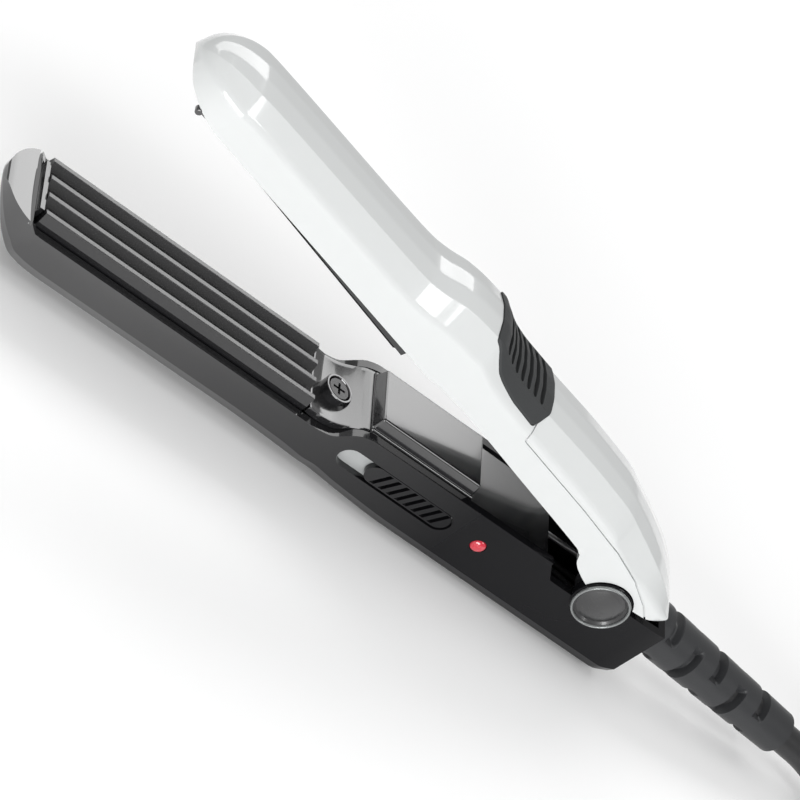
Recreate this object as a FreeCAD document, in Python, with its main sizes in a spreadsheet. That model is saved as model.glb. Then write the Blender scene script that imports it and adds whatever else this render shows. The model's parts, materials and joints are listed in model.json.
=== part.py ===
import FreeCAD, Part
import math
import os
import re
import Sketcher
from FreeCAD import Placement, Rotation, Vector

# Hair crimper: two hinged arms with nesting crimp plates. The black lower arm lies on the
# bench, the white upper arm stands open. Every arm piece is drawn about the hinge axis,
# +X towards the cord, -Y towards the switch, +Z up, and its Placement then puts it in place.

doc = FreeCAD.newDocument("HairCrimper")

# ---------------------------------------------------------------- driving dimensions
DIMENSIONS = [
    ("HingeHeight", 16.0, "hinge axis above the handle's underside"),
    ("OpenAngle", 13.9, "angle between the two casings at rest"),
    ("PlateTilt", 1.6, "upper plate's tilt in its casing, so that the shut plates are parallel"),
    ("HalfWidth", 9.1, "half the width of a casing at its rim"),
    ("Wall", 1.6, "casing wall"),
    ("Gap", 0.1, "gap between fitted pieces"),
    ("ShoulderShare", 0.80, "width of the shoulder as a share of the rim"),
    ("BackShare", 0.56, "width of the back face as a share of the rim"),
    ("ShoulderDepth", 0.22, "height of the shoulder as a share of the depth"),
    ("PlateLength", 60.0, "length of a crimp plate"),
    ("PlateRear", 68.4, "rear end of the plates, ahead of the hinge"),
    ("NoseLength", 7.8, "nose ahead of the plates"),
    ("NoseRise", 2.0, "nose standing above the lower barrel's rim"),
    ("HandleFront", 57.0, "front of the handle, ahead of the hinge"),
    ("RearEnd", 14.5, "rear end of the lower arm, behind the hinge"),
    ("TailEnd", 10.4, "rear end of the upper arm, behind the hinge"),
    ("LowerRim", 3.4, "lower barrel's rim below the hinge"),
    ("LowerHandleRim", 1.2, "lower handle's rim above the hinge"),
    ("LowerBarrelBack", 13.2, "lower barrel's underside below the hinge"),
    ("UpperRim", 3.7, "upper barrel's rim above the hinge"),
    ("UpperHandleRim", 4.6, "upper handle's rim above the hinge"),
    ("UpperBarrelBack", 13.9, "upper barrel's back above the hinge"),
    ("HumpBack", 17.4, "back of the hump ahead of the thumb grip"),
    ("UpperHandleBack", 14.8, "upper handle's back above the hinge"),
    ("TailBack", 8.8, "upper tail's back above the hinge"),
    ("LowerSeam", 14.0, "seam of the lower rear cover below the hinge"),
    ("UpperSeam", 9.5, "seam of the upper rear cover above the hinge"),
    ("SeamFront", 42.5, "front edge of the upper rear cover, ahead of the hinge"),
    ("CoverFront", 53.0, "front edge of the lower rear cover, ahead of the hinge"),
    ("GripFront", 61.5, "front edge of the thumb grip, ahead of the hinge"),
    ("GripDepth", 2.2, "depth of the thumb grip in the casing"),
    ("RidgeCount", 4, "ridges on the lower plate"),
    ("RidgeHeight", 1.7, "height of a ridge"),
    ("RidgeCrest", 0.7, "flat crest of a ridge"),
    ("EdgeFlank", 0.72, "width of the plate's outer flank"),
    ("EdgeDrop", 2.0, "height of the plate's outer flank"),
    ("LowerCrest", 0.6, "lower plate's crests below the hinge"),
    ("NestGap", 0.25, "gap between the shut plates"),
    ("PlateBack", 1.6, "plate behind the valleys"),
    ("CarrierDepth", 4.8, "depth of a plate carrier"),
    ("CarrierWall", 0.9, "wall of a plate carrier"),
    ("CarrierDraft", 0.28, "inward slope of a plate carrier's sides"),
    ("HeaterLength", 44.0, "length of a heater"),
    ("HeaterWidth", 9.0, "width of a heater"),
    ("HeaterDepth", 2.2, "thickness of a heater"),
    ("ClipDepth", 1.2, "depth of a heater clip"),
    ("ClipSheet", 0.4, "sheet of a heater clip"),
    ("CoverSheet", 1.5, "wall of an inner cover"),
    ("BlockLength", 24.0, "length of the raised block"),
    ("BlockHeight", 3.0, "height of the raised block"),
    ("BlockHalf", 6.6, "half the width of the raised block at its foot"),
    ("BlockDraft", 0.6, "draft of the raised block's sides"),
    ("CupDiameter", 5.6, "screw cup on the saddle"),
    ("CupHeight", 1.5, "height of the screw cup"),
    ("ScrewHead", 4.2, "head of a plate screw"),
    ("ScrewShank", 2.2, "shank of a screw"),
    ("ScrewX", 63.0, "plate screw, ahead of the hinge"),
    ("CoverScrewX", 14.5, "rear cover screw and spring rest, ahead of the hinge"),
    ("PinDiameter", 4.0, "hinge pin"),
    ("BossRadius", 5.5, "boss round the hinge pin"),
    ("BossProud", 0.3, "boss standing out of the casing"),
    ("BossGap", 0.25, "gap between the boss and the upper arm's wall"),
    ("CapRadius", 5.05, "hinge cap"),
    ("CapDepth", 0.8, "thickness of the hinge cap"),
    ("LugRadius", 4.7, "hinge lug of the upper arm"),
    ("LugSheet", 1.9, "thickness of a hinge lug"),
    ("BushWall", 0.7, "wall of a hinge bush"),
    ("RunGap", 0.04, "running gap between the pin and a bush"),
    ("WireDiameter", 1.1, "spring wire"),
    ("SpringRadius", 3.2, "mean radius of the spring's coil"),
    ("SpringTurns", 4, "whole turns of the spring"),
    ("SpringLeg", 15.0, "leg of the spring"),
    ("SlotLength", 26.0, "switch recess"),
    ("SlotHeight", 4.9, "height of the switch recess"),
    ("SlotX", 45.2, "middle of the switch recess, ahead of the hinge"),
    ("SlotDrop", 5.2, "middle of the switch recess below the hinge"),
    ("KnobLength", 19.4, "switch knob"),
    ("KnobFace", 8.6, "knob's outer face from the middle plane"),
    ("KnobGrooves", 8, "grooves across the knob"),
    ("SwitchTravel", 5.5, "travel of the switch knob"),
    ("BezelFace", 6.1, "bezel's outer face from the middle plane"),
    ("BezelSheet", 0.8, "sheet of the switch bezel"),
    ("NeckWidth", 2.4, "neck of the knob"),
    ("LampDiameter", 3.0, "indicator lamp"),
    ("LampX", 25.4, "indicator lamp, ahead of the hinge"),
    ("LampDrop", 5.0, "indicator lamp below the hinge"),
    ("BoardSheet", 1.2, "circuit board"),
    ("LeadDiameter", 1.3, "heater lead"),
    ("CordDiameter", 6.0, "mains cord"),
    ("ReliefBase", 10.7, "strain relief's diameter at the casing"),
    ("ReliefTip", 8.6, "strain relief's diameter at its tip"),
    ("ReliefLength", 40.0, "strain relief outside the casing"),
    ("ReliefDrop", 4.2, "strain relief below the hinge"),
    ("ReliefDroop", 6.0, "angle that the strain relief droops"),
    ("HankX", 138.0, "middle of the cord's hank"),
    ("HankReach", 68.0, "between the middles of the hank's end loops"),
    ("HankOuter", 21.0, "outer radius of the hank's end loops"),
    ("HankInner", 9.0, "inner radius of the hank's end loops"),
    ("HankHeight", 24.0, "height of the cord's hank"),
    ("TieWidth", 10.0, "width of the cord tie"),
    ("TieSheet", 1.2, "thickness of the cord tie"),
    ("PlugX", 234.0, "cord face of the plug's body"),
    ("PlugY", -3.0, "plug's axis"),
    ("PlugLength", 34.0, "plug's body"),
    ("PlugWidth", 35.3, "width of the plug's body"),
    ("PlugThick", 13.7, "thickness of the plug's body"),
    ("PlugSleeve", 10.0, "sleeve of the plug round the cord"),
    ("PlugPin", 4.0, "diameter of a plug pin"),
    ("PlugPinLength", 19.0, "length of a plug pin"),
    ("PlugPinSpacing", 18.6, "spacing of the plug pins"),
    ("PinRoot", 4.8, "diameter of a plug pin's root in the plug"),
    ("PinRootLength", 8.0, "length of a plug pin's root"),
]

sheet = doc.addObject("Spreadsheet::Sheet", "Size")
for row, (alias, value, meaning) in enumerate(DIMENSIONS, start=1):
    sheet.set(f"A{row}", meaning)
    sheet.set(f"B{row}", str(value))
    sheet.setAlias(f"B{row}", alias)
doc.recompute()

PARTS = []
MIDDLE = "0"


def size(alias):
    return float(sheet.get(alias))


def bound(text):
    """Expression text with each alias read from the sheet."""
    return re.sub(r"\b[A-Z]\w+", lambda word: "Size." + word.group(0), str(text))


def keep(label, piece):
    """Names a sub-part, so that it is written as parts/label.step."""
    piece.Label = label
    PARTS.append((label, piece))
    return piece


def seat(piece, arm):
    """Puts a piece drawn about the hinge axis on its arm."""
    angle = {"lower": "0 * OpenAngle", "upper": "OpenAngle", "plate": "OpenAngle + PlateTilt"}[arm]
    piece.Placement = Placement(Vector(0, 0, size("HingeHeight")), Rotation(Vector(0, 1, 0), 1))
    piece.setExpression("Placement.Base.z", bound("HingeHeight"))
    piece.setExpression("Placement.Rotation.Angle", bound(angle))


# ---------------------------------------------------------------- sketch and feature helpers
def sketch_on(body, plane, offset):
    sketch = body.newObject("Sketcher::SketchObject", "Outline")
    origin = next(item for item in body.Origin.OriginFeatures if item.Role == plane + "_Plane")
    sketch.AttachmentSupport = (origin, [""])
    sketch.MapMode = "FlatFace"
    sketch.setExpression("AttachmentOffset.Base.z", bound(offset))
    return sketch


def pin_point(sketch, element, point, across, up):
    for kind, text in (("DistanceX", across), ("DistanceY", up)):
        number = sketch.addConstraint(Sketcher.Constraint(kind, -1, 1, element, point, 1.0))
        sketch.setExpression(f"Constraints[{number}]", bound(text))


def polygon(body, plane, offset, corners):
    """Closed outline through corners, each a pair of expressions."""
    sketch = sketch_on(body, plane, offset)
    count = len(corners)
    ring = [Vector(50 * math.cos(2 * math.pi * i / count), 50 * math.sin(2 * math.pi * i / count), 0)
            for i in range(count)]
    for i in range(count):
        sketch.addGeometry(Part.LineSegment(ring[i], ring[(i + 1) % count]))
    for i in range(count):
        sketch.addConstraint(Sketcher.Constraint("Coincident", i, 2, (i + 1) % count, 1))
    for i, (across, up) in enumerate(corners):
        pin_point(sketch, i, 1, across, up)
    return sketch


def rectangle(body, plane, offset, low, high):
    return polygon(body, plane, offset, [(low[0], low[1]), (high[0], low[1]),
                                         (high[0], high[1]), (low[0], high[1])])


def circle(body, plane, offset, centre, radius):
    sketch = sketch_on(body, plane, offset)
    sketch.addGeometry(Part.Circle(Vector(1, 1, 0), Vector(0, 0, 1), 1))
    pin_point(sketch, 0, 3, *centre)
    number = sketch.addConstraint(Sketcher.Constraint("Radius", 0, 1.0))
    sketch.setExpression(f"Constraints[{number}]", bound(radius))
    return sketch


def stadium(body, offset, middle, length, height, plane="XZ"):
    """Slot outline, its round ends left and right."""
    sketch = sketch_on(body, plane, offset)
    ends = [f"{middle[0]} - {length} / 2 + {height} / 2", f"{middle[0]} + {length} / 2 - {height} / 2"]
    x, y, half, r = -45.0, -5.0, 10.0, 2.5
    left, right = Vector(x - half, y, 0), Vector(x + half, y, 0)
    up = Vector(0, r, 0)
    sketch.addGeometry(Part.LineSegment(right + up, left + up))
    sketch.addGeometry(Part.ArcOfCircle(Part.Circle(left, Vector(0, 0, 1), r), math.pi / 2, 1.5 * math.pi))
    sketch.addGeometry(Part.LineSegment(left - up, right - up))
    sketch.addGeometry(Part.ArcOfCircle(Part.Circle(right, Vector(0, 0, 1), r), -math.pi / 2, math.pi / 2))
    for line, point, arc, end in ((0, 2, 1, 1), (2, 1, 1, 2), (2, 2, 3, 1), (0, 1, 3, 2)):
        sketch.addConstraint(Sketcher.Constraint("Tangent", line, point, arc, end))
    sketch.addConstraint(Sketcher.Constraint("Horizontal", 0))
    pin_point(sketch, 1, 3, ends[0], middle[1])
    pin_point(sketch, 3, 3, ends[1], middle[1])
    number = sketch.addConstraint(Sketcher.Constraint("Radius", 1, r))
    sketch.setExpression(f"Constraints[{number}]", bound(f"{height} / 2"))
    return sketch


def pad(body, sketch, length, both=False, back=False):
    """Pad along the sketch's normal; both spreads it evenly to the two sides."""
    feature = body.newObject("PartDesign::Pad", "Pad")
    feature.Profile = sketch
    feature.setExpression("Length", bound(length))
    feature.Midplane = both
    feature.Reversed = back
    return feature


def pocket(body, sketch, length, both=False, back=False):
    """Cut along the sketch's normal; both spreads it evenly to the two sides."""
    feature = body.newObject("PartDesign::Pocket", "Pocket")
    feature.Profile = sketch
    feature.setExpression("Length", bound(length))
    feature.Midplane = both
    feature.Reversed = not back if not both else False
    return feature


def body_of(name):
    return doc.addObject("PartDesign::Body", name)


def block(body, low, high, cut=False):
    """Box between two corners, each of three expressions."""
    outline = rectangle(body, "XY", low[2], low[:2], high[:2])
    length = f"({high[2]}) - ({low[2]})"
    return pocket(body, outline, length) if cut else pad(body, outline, length)


def rod(body, plane, offset, centre, radius, length, cut=False, both=False, back=False):
    outline = circle(body, plane, offset, centre, radius)
    make = pocket if cut else pad
    return make(body, outline, length, both=both, back=back)


# ---------------------------------------------------------------- casings
PLATE_FRONT = "PlateRear + PlateLength"
TIP = "PlateRear + PlateLength + NoseLength"

# Each station: distance ahead of the hinge, half width, rim and back from the hinge axis.
LOWER_STATIONS = [
    (TIP, "0.34 * HalfWidth", "-LowerRim - 2.6", "-LowerBarrelBack + 3.8"),
    (f"{TIP} - 1.2", "0.60 * HalfWidth", "-LowerRim - 1.4", "-LowerBarrelBack + 2.2"),
    (f"{TIP} - 4.0", "0.86 * HalfWidth", "-LowerRim + 0.6", "-LowerBarrelBack + 0.8"),
    (f"{PLATE_FRONT} + 1.3", "0.985 * HalfWidth", "-LowerRim + NoseRise", "-LowerBarrelBack + 0.3"),
    (f"{PLATE_FRONT} + 1.2", "0.985 * HalfWidth", "-LowerRim", "-LowerBarrelBack + 0.3"),
    (f"{PLATE_FRONT} - 8.0", "HalfWidth", "-LowerRim", "-LowerBarrelBack"),
    ("HandleFront + 21.0", "HalfWidth", "-LowerRim", "-LowerBarrelBack"),
    ("HandleFront + 7.5", "HalfWidth", "-LowerRim", "-LowerBarrelBack - 0.3 * (HingeHeight - LowerBarrelBack)"),
    ("HandleFront + 4.5", "HalfWidth", "-LowerRim + 1.0",
     "-LowerBarrelBack - 0.42 * (HingeHeight - LowerBarrelBack)"),
    ("HandleFront + 1.5", "HalfWidth", "LowerHandleRim - 1.0",
     "-LowerBarrelBack - 0.56 * (HingeHeight - LowerBarrelBack)"),
    ("HandleFront - 1.5", "HalfWidth", "LowerHandleRim",
     "-LowerBarrelBack - 0.7 * (HingeHeight - LowerBarrelBack)"),
    ("CoverFront - 1.0", "HalfWidth", "LowerHandleRim",
     "-LowerBarrelBack - 0.84 * (HingeHeight - LowerBarrelBack)"),
    ("HandleFront - 15.0", "HalfWidth", "LowerHandleRim", "-HingeHeight"),
    ("-RearEnd + 3.5", "HalfWidth", "LowerHandleRim + 0.6", "-HingeHeight"),
    ("-RearEnd", "HalfWidth - 0.3", "LowerHandleRim + 0.6", "-HingeHeight + 2.0"),
]
UPPER_STATIONS = [
    (TIP, "0.34 * HalfWidth", "UpperRim + 2.2", "UpperBarrelBack - 5.2"),
    (f"{TIP} - 1.2", "0.62 * HalfWidth", "UpperRim + 1.0", "UpperBarrelBack - 2.8"),
    (f"{TIP} - 4.0", "0.86 * HalfWidth", "UpperRim + 0.2", "UpperBarrelBack - 1.0"),
    (PLATE_FRONT, "HalfWidth", "UpperRim", "UpperBarrelBack - 0.2"),
    (f"{PLATE_FRONT} - 10.0", "HalfWidth", "UpperRim", "UpperBarrelBack"),
    ("HandleFront + 21.0", "HalfWidth", "UpperRim", "UpperBarrelBack + 0.4"),
    ("HandleFront + 17.0", "HalfWidth", "UpperRim", "UpperBarrelBack + 1.0"),
    ("HandleFront + 12.5", "HalfWidth", "UpperRim", "HumpBack - 0.9"),
    ("HandleFront + 8.0", "HalfWidth", "UpperRim + 0.1", "HumpBack"),
    ("HandleFront + 4.5", "HalfWidth", "UpperRim + 0.5", "HumpBack"),
    ("HandleFront", "HalfWidth", "UpperHandleRim", "HumpBack - 1.2"),
    ("HandleFront - 5.0", "HalfWidth", "UpperHandleRim", "UpperHandleBack + 0.5"),
    ("HandleFront - 14.5", "HalfWidth", "UpperHandleRim - 0.1", "UpperHandleBack"),
    ("14.0", "HalfWidth", "UpperHandleRim - 0.6", "UpperHandleBack - 0.8"),
    ("10.0", "HalfWidth", "1.5", "UpperHandleBack - 1.4"),
    ("6.0", "HalfWidth", "0.6", "UpperHandleBack - 2.4"),
    ("-4.6", "HalfWidth - 0.1", "UpperHandleRim - 0.6", "TailBack + 1.2"),
    ("-7.3", "HalfWidth - 0.4", "UpperHandleRim + 0.3", "TailBack + 0.5"),
    ("-TailEnd", "HalfWidth - 1.0", "UpperHandleRim + 2.0", "TailBack - 0.4"),
]


FLUSH = "0"


def arm_section(body, station, side, inset, over):
    """Section of a casing at a station, inset by a wall and run over its open rim."""
    ahead, half, rim, back = station
    wide = f"({half} - {inset})"
    base = f"({back} - {side} * {inset})"
    shoulder = f"({base} - ShoulderDepth * ({back} - ({rim})))"
    lip = f"({rim} - {side} * {over})"
    right = [(wide, lip), (wide, rim)] if over != FLUSH else [(wide, rim)]
    right += [(f"ShoulderShare * {wide}", shoulder), (f"BackShare * {wide}", base)]
    left = [(f"-{across}", up) for across, up in reversed(right)]
    return polygon(body, "YZ", f"-({ahead})", right + left)


def arm_loft(body, stations, side, inset="0", over=FLUSH, cut=False):
    sections = [arm_section(body, station, side, inset, over) for station in stations]
    kind = "PartDesign::SubtractiveLoft" if cut else "PartDesign::AdditiveLoft"
    feature = body.newObject(kind, "Loft")
    feature.Profile = sections[0]
    feature.Sections = sections[1:]
    feature.Ruled = True
    return feature


def build_lower_shell():
    shell = body_of("LowerShell")
    arm_loft(shell, LOWER_STATIONS, -1)
    cavity = LOWER_STATIONS[4:-1]
    cavity += [("-RearEnd + Wall",) + LOWER_STATIONS[-2][1:]]
    arm_loft(shell, cavity, -1, inset="Wall", over="6", cut=True)
    # the rear cover closes the handle from below
    block(shell, ("-CoverFront", "-2 * HalfWidth", "-2 * HingeHeight"),
          ("2 * RearEnd", "2 * HalfWidth", "-LowerSeam"), cut=True)
    # dip in the rim ahead of the hinge, and the bosses round the pin
    dip = polygon(shell, "XZ", MIDDLE,
                  [("-13.5", "LowerHandleRim + 3"), ("-10.2", "-2.1"), ("5.4", "-2.1"),
                   ("5.4", "LowerHandleRim + 3")])
    pocket(shell, dip, "4 * HalfWidth", both=True)
    rod(shell, "XZ", MIDDLE, (MIDDLE, MIDDLE), "BossRadius",
        "2 * (HalfWidth + BossProud)", both=True)
    block(shell, ("-BossRadius - 1", "-(HalfWidth - Wall - Gap)", "-BossRadius - 1"),
          ("BossRadius + 1", "HalfWidth - Wall - Gap", "BossRadius + 1"), cut=True)
    rod(shell, "XZ", MIDDLE, (MIDDLE, MIDDLE), "PinDiameter / 2", "4 * HalfWidth",
        cut=True, both=True)
    # cross ribs: a rest for the spring's lower leg, and posts for the cover screws
    block(shell, ("-CoverScrewX - 1.6", "-0.75 * HalfWidth", "-SpringRadius - WireDiameter / 2 - 2.6"),
          ("-CoverScrewX + 1.6", "0.75 * HalfWidth", "-SpringRadius - WireDiameter / 2"))
    rod(shell, "XY", "-LowerSeam + Gap", ("-CoverScrewX", MIDDLE), "ScrewShank / 2 + 1.2",
        "LowerSeam - SpringRadius - 2")
    block(shell, ("-CoverFront + 0.5", "-0.6 * HalfWidth", "-LowerSeam + Gap"),
          ("-CoverFront + 5.5", "0.6 * HalfWidth", "-LowerSeam + 2.3"))
    for x in ("-CoverScrewX", "-CoverFront + 3"):
        rod(shell, "XY", "-LowerSeam - 1", (x, MIDDLE), "ScrewShank / 2", "4.5", cut=True)
    # switch recess and lamp hole in the near wall, relief hole in the rear wall
    pocket(shell, stadium(shell, MIDDLE, ("-SlotX", "-SlotDrop"), "SlotLength", "SlotHeight"),
           "2 * HalfWidth")
    rod(shell, "XZ", MIDDLE, ("-LampX", "-LampDrop"), "LampDiameter / 2 + Gap / 2",
        "2 * HalfWidth", cut=True)
    rod(shell, "YZ", "RearEnd + 1", (MIDDLE, "-ReliefDrop"), "ReliefBase / 2 - 0.7",
        "Wall + 3", cut=True, back=True)
    seat(keep("lower_shell", shell), "lower")


def build_lower_rear_cover():
    cover = body_of("LowerRearCover")
    arm_loft(cover, [("CoverFront - Gap",) + LOWER_STATIONS[11][1:]] + LOWER_STATIONS[12:], -1)
    inner = [("CoverFront - Wall",) + LOWER_STATIONS[12][1:3] + ("-HingeHeight + 0.4",)]
    inner += [("-RearEnd + Wall",) + LOWER_STATIONS[12][1:]]
    arm_loft(cover, inner, -1, inset="Wall", over="6", cut=True)
    block(cover, ("-2 * CoverFront", "-2 * HalfWidth", "-LowerSeam - Gap"),
          ("2 * RearEnd", "2 * HalfWidth", "2 * HingeHeight"), cut=True)
    for x in ("-CoverScrewX", "-CoverFront + 3"):
        rod(cover, "XY", "-HingeHeight", (x, MIDDLE), "ScrewHead / 2 + Gap", "0.9", cut=True)
        rod(cover, "XY", "-HingeHeight - 1", (x, MIDDLE), "ScrewShank / 2 + Gap", "4", cut=True)
    seat(keep("lower_rear_cover", cover), "lower")


def build_lower_inner_cover():
    cover = body_of("LowerInnerCover")
    top = [("-PlateRear + Gap", "-2.6"), ("-PlateRear + 3.9", "-2.9"), ("-HandleFront - 4.3", "-2.0"),
           ("-HandleFront - 1.4", "LowerHandleRim - 0.7"), ("-HandleFront + 0.6", "LowerHandleRim - 0.3"),
           ("-14.0", "LowerHandleRim - 0.3")]
    under = [(x, f"{z} - CoverSheet") for x, z in reversed(top)]
    pad(cover, polygon(cover, "XZ", MIDDLE, top + under), "2 * (HalfWidth - Wall - 4 * Gap)", both=True)
    foot = "LowerHandleRim - 0.3 - 0.6 * CoverSheet"
    crown = "LowerHandleRim - 0.3 + BlockHeight"
    raised = polygon(cover, "YZ", "-HandleFront",
                     [("-BlockHalf", foot), ("-(BlockHalf - BlockDraft)", f"{crown} - 0.7"),
                      ("-(BlockHalf - BlockDraft - 0.7)", crown), ("BlockHalf - BlockDraft - 0.7", crown),
                      ("BlockHalf - BlockDraft", f"{crown} - 0.7"), ("BlockHalf", foot)])
    pad(cover, raised, "BlockLength")
    block(cover, ("-HandleFront + CoverSheet", "-(BlockHalf - BlockDraft - CoverSheet)", "-LowerRim"),
          ("-HandleFront + BlockLength - CoverSheet", "BlockHalf - BlockDraft - CoverSheet", f"{crown} - CoverSheet"),
          cut=True)
    rod(cover, "XY", "-3.6", ("-ScrewX", MIDDLE), "CupDiameter / 2", "CupHeight + 1.2")
    rod(cover, "XY", "-2.3", ("-ScrewX", MIDDLE), "ScrewHead / 2 + Gap", "4", cut=True)
    rod(cover, "XY", "-6", ("-ScrewX", MIDDLE), "ScrewShank / 2 + Gap", "6", cut=True)
    seat(keep("lower_inner_cover", cover), "lower")


# ---------------------------------------------------------------- crimp plates and heaters
PLATE_HALF = "(HalfWidth - Wall - 3 * Gap)"
RIDGE_PITCH = f"((2 * {PLATE_HALF} - 2 * EdgeFlank - RidgeCrest) / (RidgeCount - 1))"


def crimp_line(crest, valley):
    """Corners across the ridges, from the -Y side to the +Y side."""
    count = int(size("RidgeCount"))
    corners = []
    for i in range(count):
        middle = f"({i} - {(count - 1) / 2}) * {RIDGE_PITCH}"
        corners += [(f"{middle} - RidgeCrest / 2", crest), (f"{middle} + RidgeCrest / 2", crest)]
        if i < count - 1:
            bottom = f"({i} - {(count - 2) / 2}) * {RIDGE_PITCH}"
            corners += [(f"{bottom} - RidgeCrest / 2", valley), (f"{bottom} + RidgeCrest / 2", valley)]
    return corners


def build_plates():
    crest = "-LowerCrest"
    valley = "-LowerCrest - RidgeHeight"
    back = f"{valley} - PlateBack"
    lower = body_of("LowerPlate")
    corners = [(f"-{PLATE_HALF}", f"{crest} - EdgeDrop")] + crimp_line(crest, valley)
    corners += [(PLATE_HALF, f"{crest} - EdgeDrop"), (PLATE_HALF, back), (f"-{PLATE_HALF}", back)]
    pad(lower, polygon(lower, "YZ", f"-({PLATE_FRONT})", corners), "PlateLength - Gap")
    seat(keep("lower_plate", lower), "lower")

    upper = body_of("UpperPlate")
    crest = "-LowerCrest + NestGap"
    valley = "-LowerCrest - RidgeHeight + NestGap"
    back = f"{crest} + PlateBack"
    corners = [(f"-{PLATE_HALF}", crest)] + crimp_line(crest, valley)[1:-1]
    corners += [(PLATE_HALF, crest), (PLATE_HALF, back), (f"-{PLATE_HALF}", back)]
    pad(upper, polygon(upper, "YZ", f"-({PLATE_FRONT})", corners), "PlateLength - Gap")
    seat(keep("upper_plate", upper), "plate")


def build_carrier(label, arm, face, side):
    """Heat-resistant tray behind a plate; side is +1 where the tray lies above its plate."""
    carrier = body_of("Carrier")
    far = f"{face} + {side} * CarrierDepth"
    narrow = f"({PLATE_HALF} - CarrierDraft * CarrierDepth)"
    tray = polygon(carrier, "YZ", f"-({PLATE_FRONT}) - 1.0",
                   [(f"-{PLATE_HALF}", face), (PLATE_HALF, face), (narrow, far), (f"-{narrow}", far)])
    pad(carrier, tray, "PlateLength + 1.0 - Gap")
    floor = f"{far} - {side} * CarrierWall"
    hollow = polygon(carrier, "YZ", f"-({PLATE_FRONT}) + 2.0",
                     [(f"-({PLATE_HALF} - CarrierWall)", f"{face} - {side}"), (f"{PLATE_HALF} - CarrierWall", f"{face} - {side}"),
                      (f"{narrow} - CarrierWall", floor), (f"-({narrow} - CarrierWall)", floor)])
    pocket(carrier, hollow, "PlateLength - 4")
    # lip that stands up at the plate's front end
    lip_low, lip_high = (f"{face} - PlateBack", face) if side > 0 else (face, f"{face} + PlateBack + 1.2")
    block(carrier, (f"-({PLATE_FRONT}) - 1.0", "-0.62 * HalfWidth", lip_low),
          (f"-({PLATE_FRONT}) - Gap", "0.62 * HalfWidth", lip_high))
    for y in ("-2.4", "2.4"):
        rod(carrier, "YZ", "-PlateRear - 3", (y, f"{face} + {side} * (CarrierDepth - 1.9)"),
            "LeadDiameter / 2 + Gap", "5", cut=True)
    seat(keep(label, carrier), arm)


def build_heater(label, arm, face, side):
    heater = body_of("Heater")
    low, high = (face, f"{face} + HeaterDepth") if side > 0 else (f"{face} - HeaterDepth", face)
    middle = "(PlateRear + PlateLength / 2)"
    block(heater, (f"-{middle} - HeaterLength / 2", "-HeaterWidth / 2", low),
          (f"-{middle} + HeaterLength / 2", "HeaterWidth / 2", high))
    seat(keep(label, heater), arm)


def build_clip(label, arm, face, side):
    """Bowed spring sheet that presses a heater onto its plate."""
    clip = body_of("Clip")
    middle = "(PlateRear + PlateLength / 2)"
    span = "0.36 * HeaterLength"
    bow = [(f"-{middle} - {span}", face), (f"-{middle} - {span} / 3", f"{face} + {side} * ClipDepth"),
           (f"-{middle} + {span} / 3", f"{face} + {side} * ClipDepth"), (f"-{middle} + {span}", face)]
    outer = [(x, f"{z} + {side} * ClipSheet") for x, z in reversed(bow)]
    pad(clip, polygon(clip, "XZ", MIDDLE, bow + outer), "0.7 * HeaterWidth", both=True)
    seat(keep(label, clip), arm)


def build_plate_stack(arm_name, arm, back, side):
    gap = f"{side} * Gap / 2"
    build_carrier(f"{arm_name}_plate_carrier", arm, f"{back} + {gap}", side)
    build_heater(f"{arm_name}_heater", arm, f"{back} + {gap}", side)
    build_clip(f"{arm_name}_heater_clip", arm, f"{back} + {side} * (HeaterDepth + Gap)", side)


def build_screw(label, arm, x, head_face, side):
    """Cross-head screw whose head face is at head_face and shank points away from it."""
    screw = body_of("Screw")
    rod(screw, "XY", head_face, (x, MIDDLE), "ScrewHead / 2", "1.3", back=side > 0)
    rod(screw, "XY", head_face, (x, MIDDLE), "ScrewShank / 2", "4.8", back=side > 0)
    for wide, deep in (("1.3", "0.25"), ("0.25", "1.3")):
        low = f"{head_face} - 0.7" if side > 0 else f"{head_face} - 0.1"
        block(screw, (f"{x} - {wide}", f"-{deep}", low), (f"{x} + {wide}", deep, f"({low}) + 0.8"), cut=True)
    seat(keep(label, screw), arm)


# ---------------------------------------------------------------- upper arm
def build_upper_shell():
    shell = body_of("UpperShell")
    arm_loft(shell, UPPER_STATIONS, 1)
    cavity = [(f"{PLATE_FRONT} + 1.6",) + UPPER_STATIONS[3][1:]] + UPPER_STATIONS[3:-1]
    arm_loft(shell, cavity, 1, inset="Wall", over="6", cut=True)
    # the rear cover and the thumb grip are pieces of their own
    block(shell, ("-SeamFront", "-2 * HalfWidth", "UpperSeam"),
          ("2 * RearEnd", "2 * HalfWidth", "3 * HingeHeight"), cut=True)
    block(shell, ("-GripFront", "-0.84 * HalfWidth", "UpperHandleBack - GripDepth"),
          ("-SeamFront + 1", "0.84 * HalfWidth", "3 * HingeHeight"), cut=True)
    rod(shell, "XZ", MIDDLE, (MIDDLE, MIDDLE), "BossRadius + BossGap", "4 * HalfWidth",
        cut=True, both=True)
    seat(keep("upper_shell", shell), "upper")


def build_upper_rear_cover():
    cover = body_of("UpperRearCover")
    stations = [("SeamFront - Gap",) + UPPER_STATIONS[12][1:]] + UPPER_STATIONS[13:]
    arm_loft(cover, stations, 1)
    inner = [("SeamFront + 1",) + UPPER_STATIONS[12][1:]] + UPPER_STATIONS[13:-1]
    arm_loft(cover, inner, 1, inset="Wall", over="6", cut=True)
    block(cover, ("-2 * SeamFront", "-2 * HalfWidth", "-HingeHeight"),
          ("2 * RearEnd", "2 * HalfWidth", "UpperSeam + Gap"), cut=True)
    seat(keep("upper_rear_cover", cover), "upper")


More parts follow.
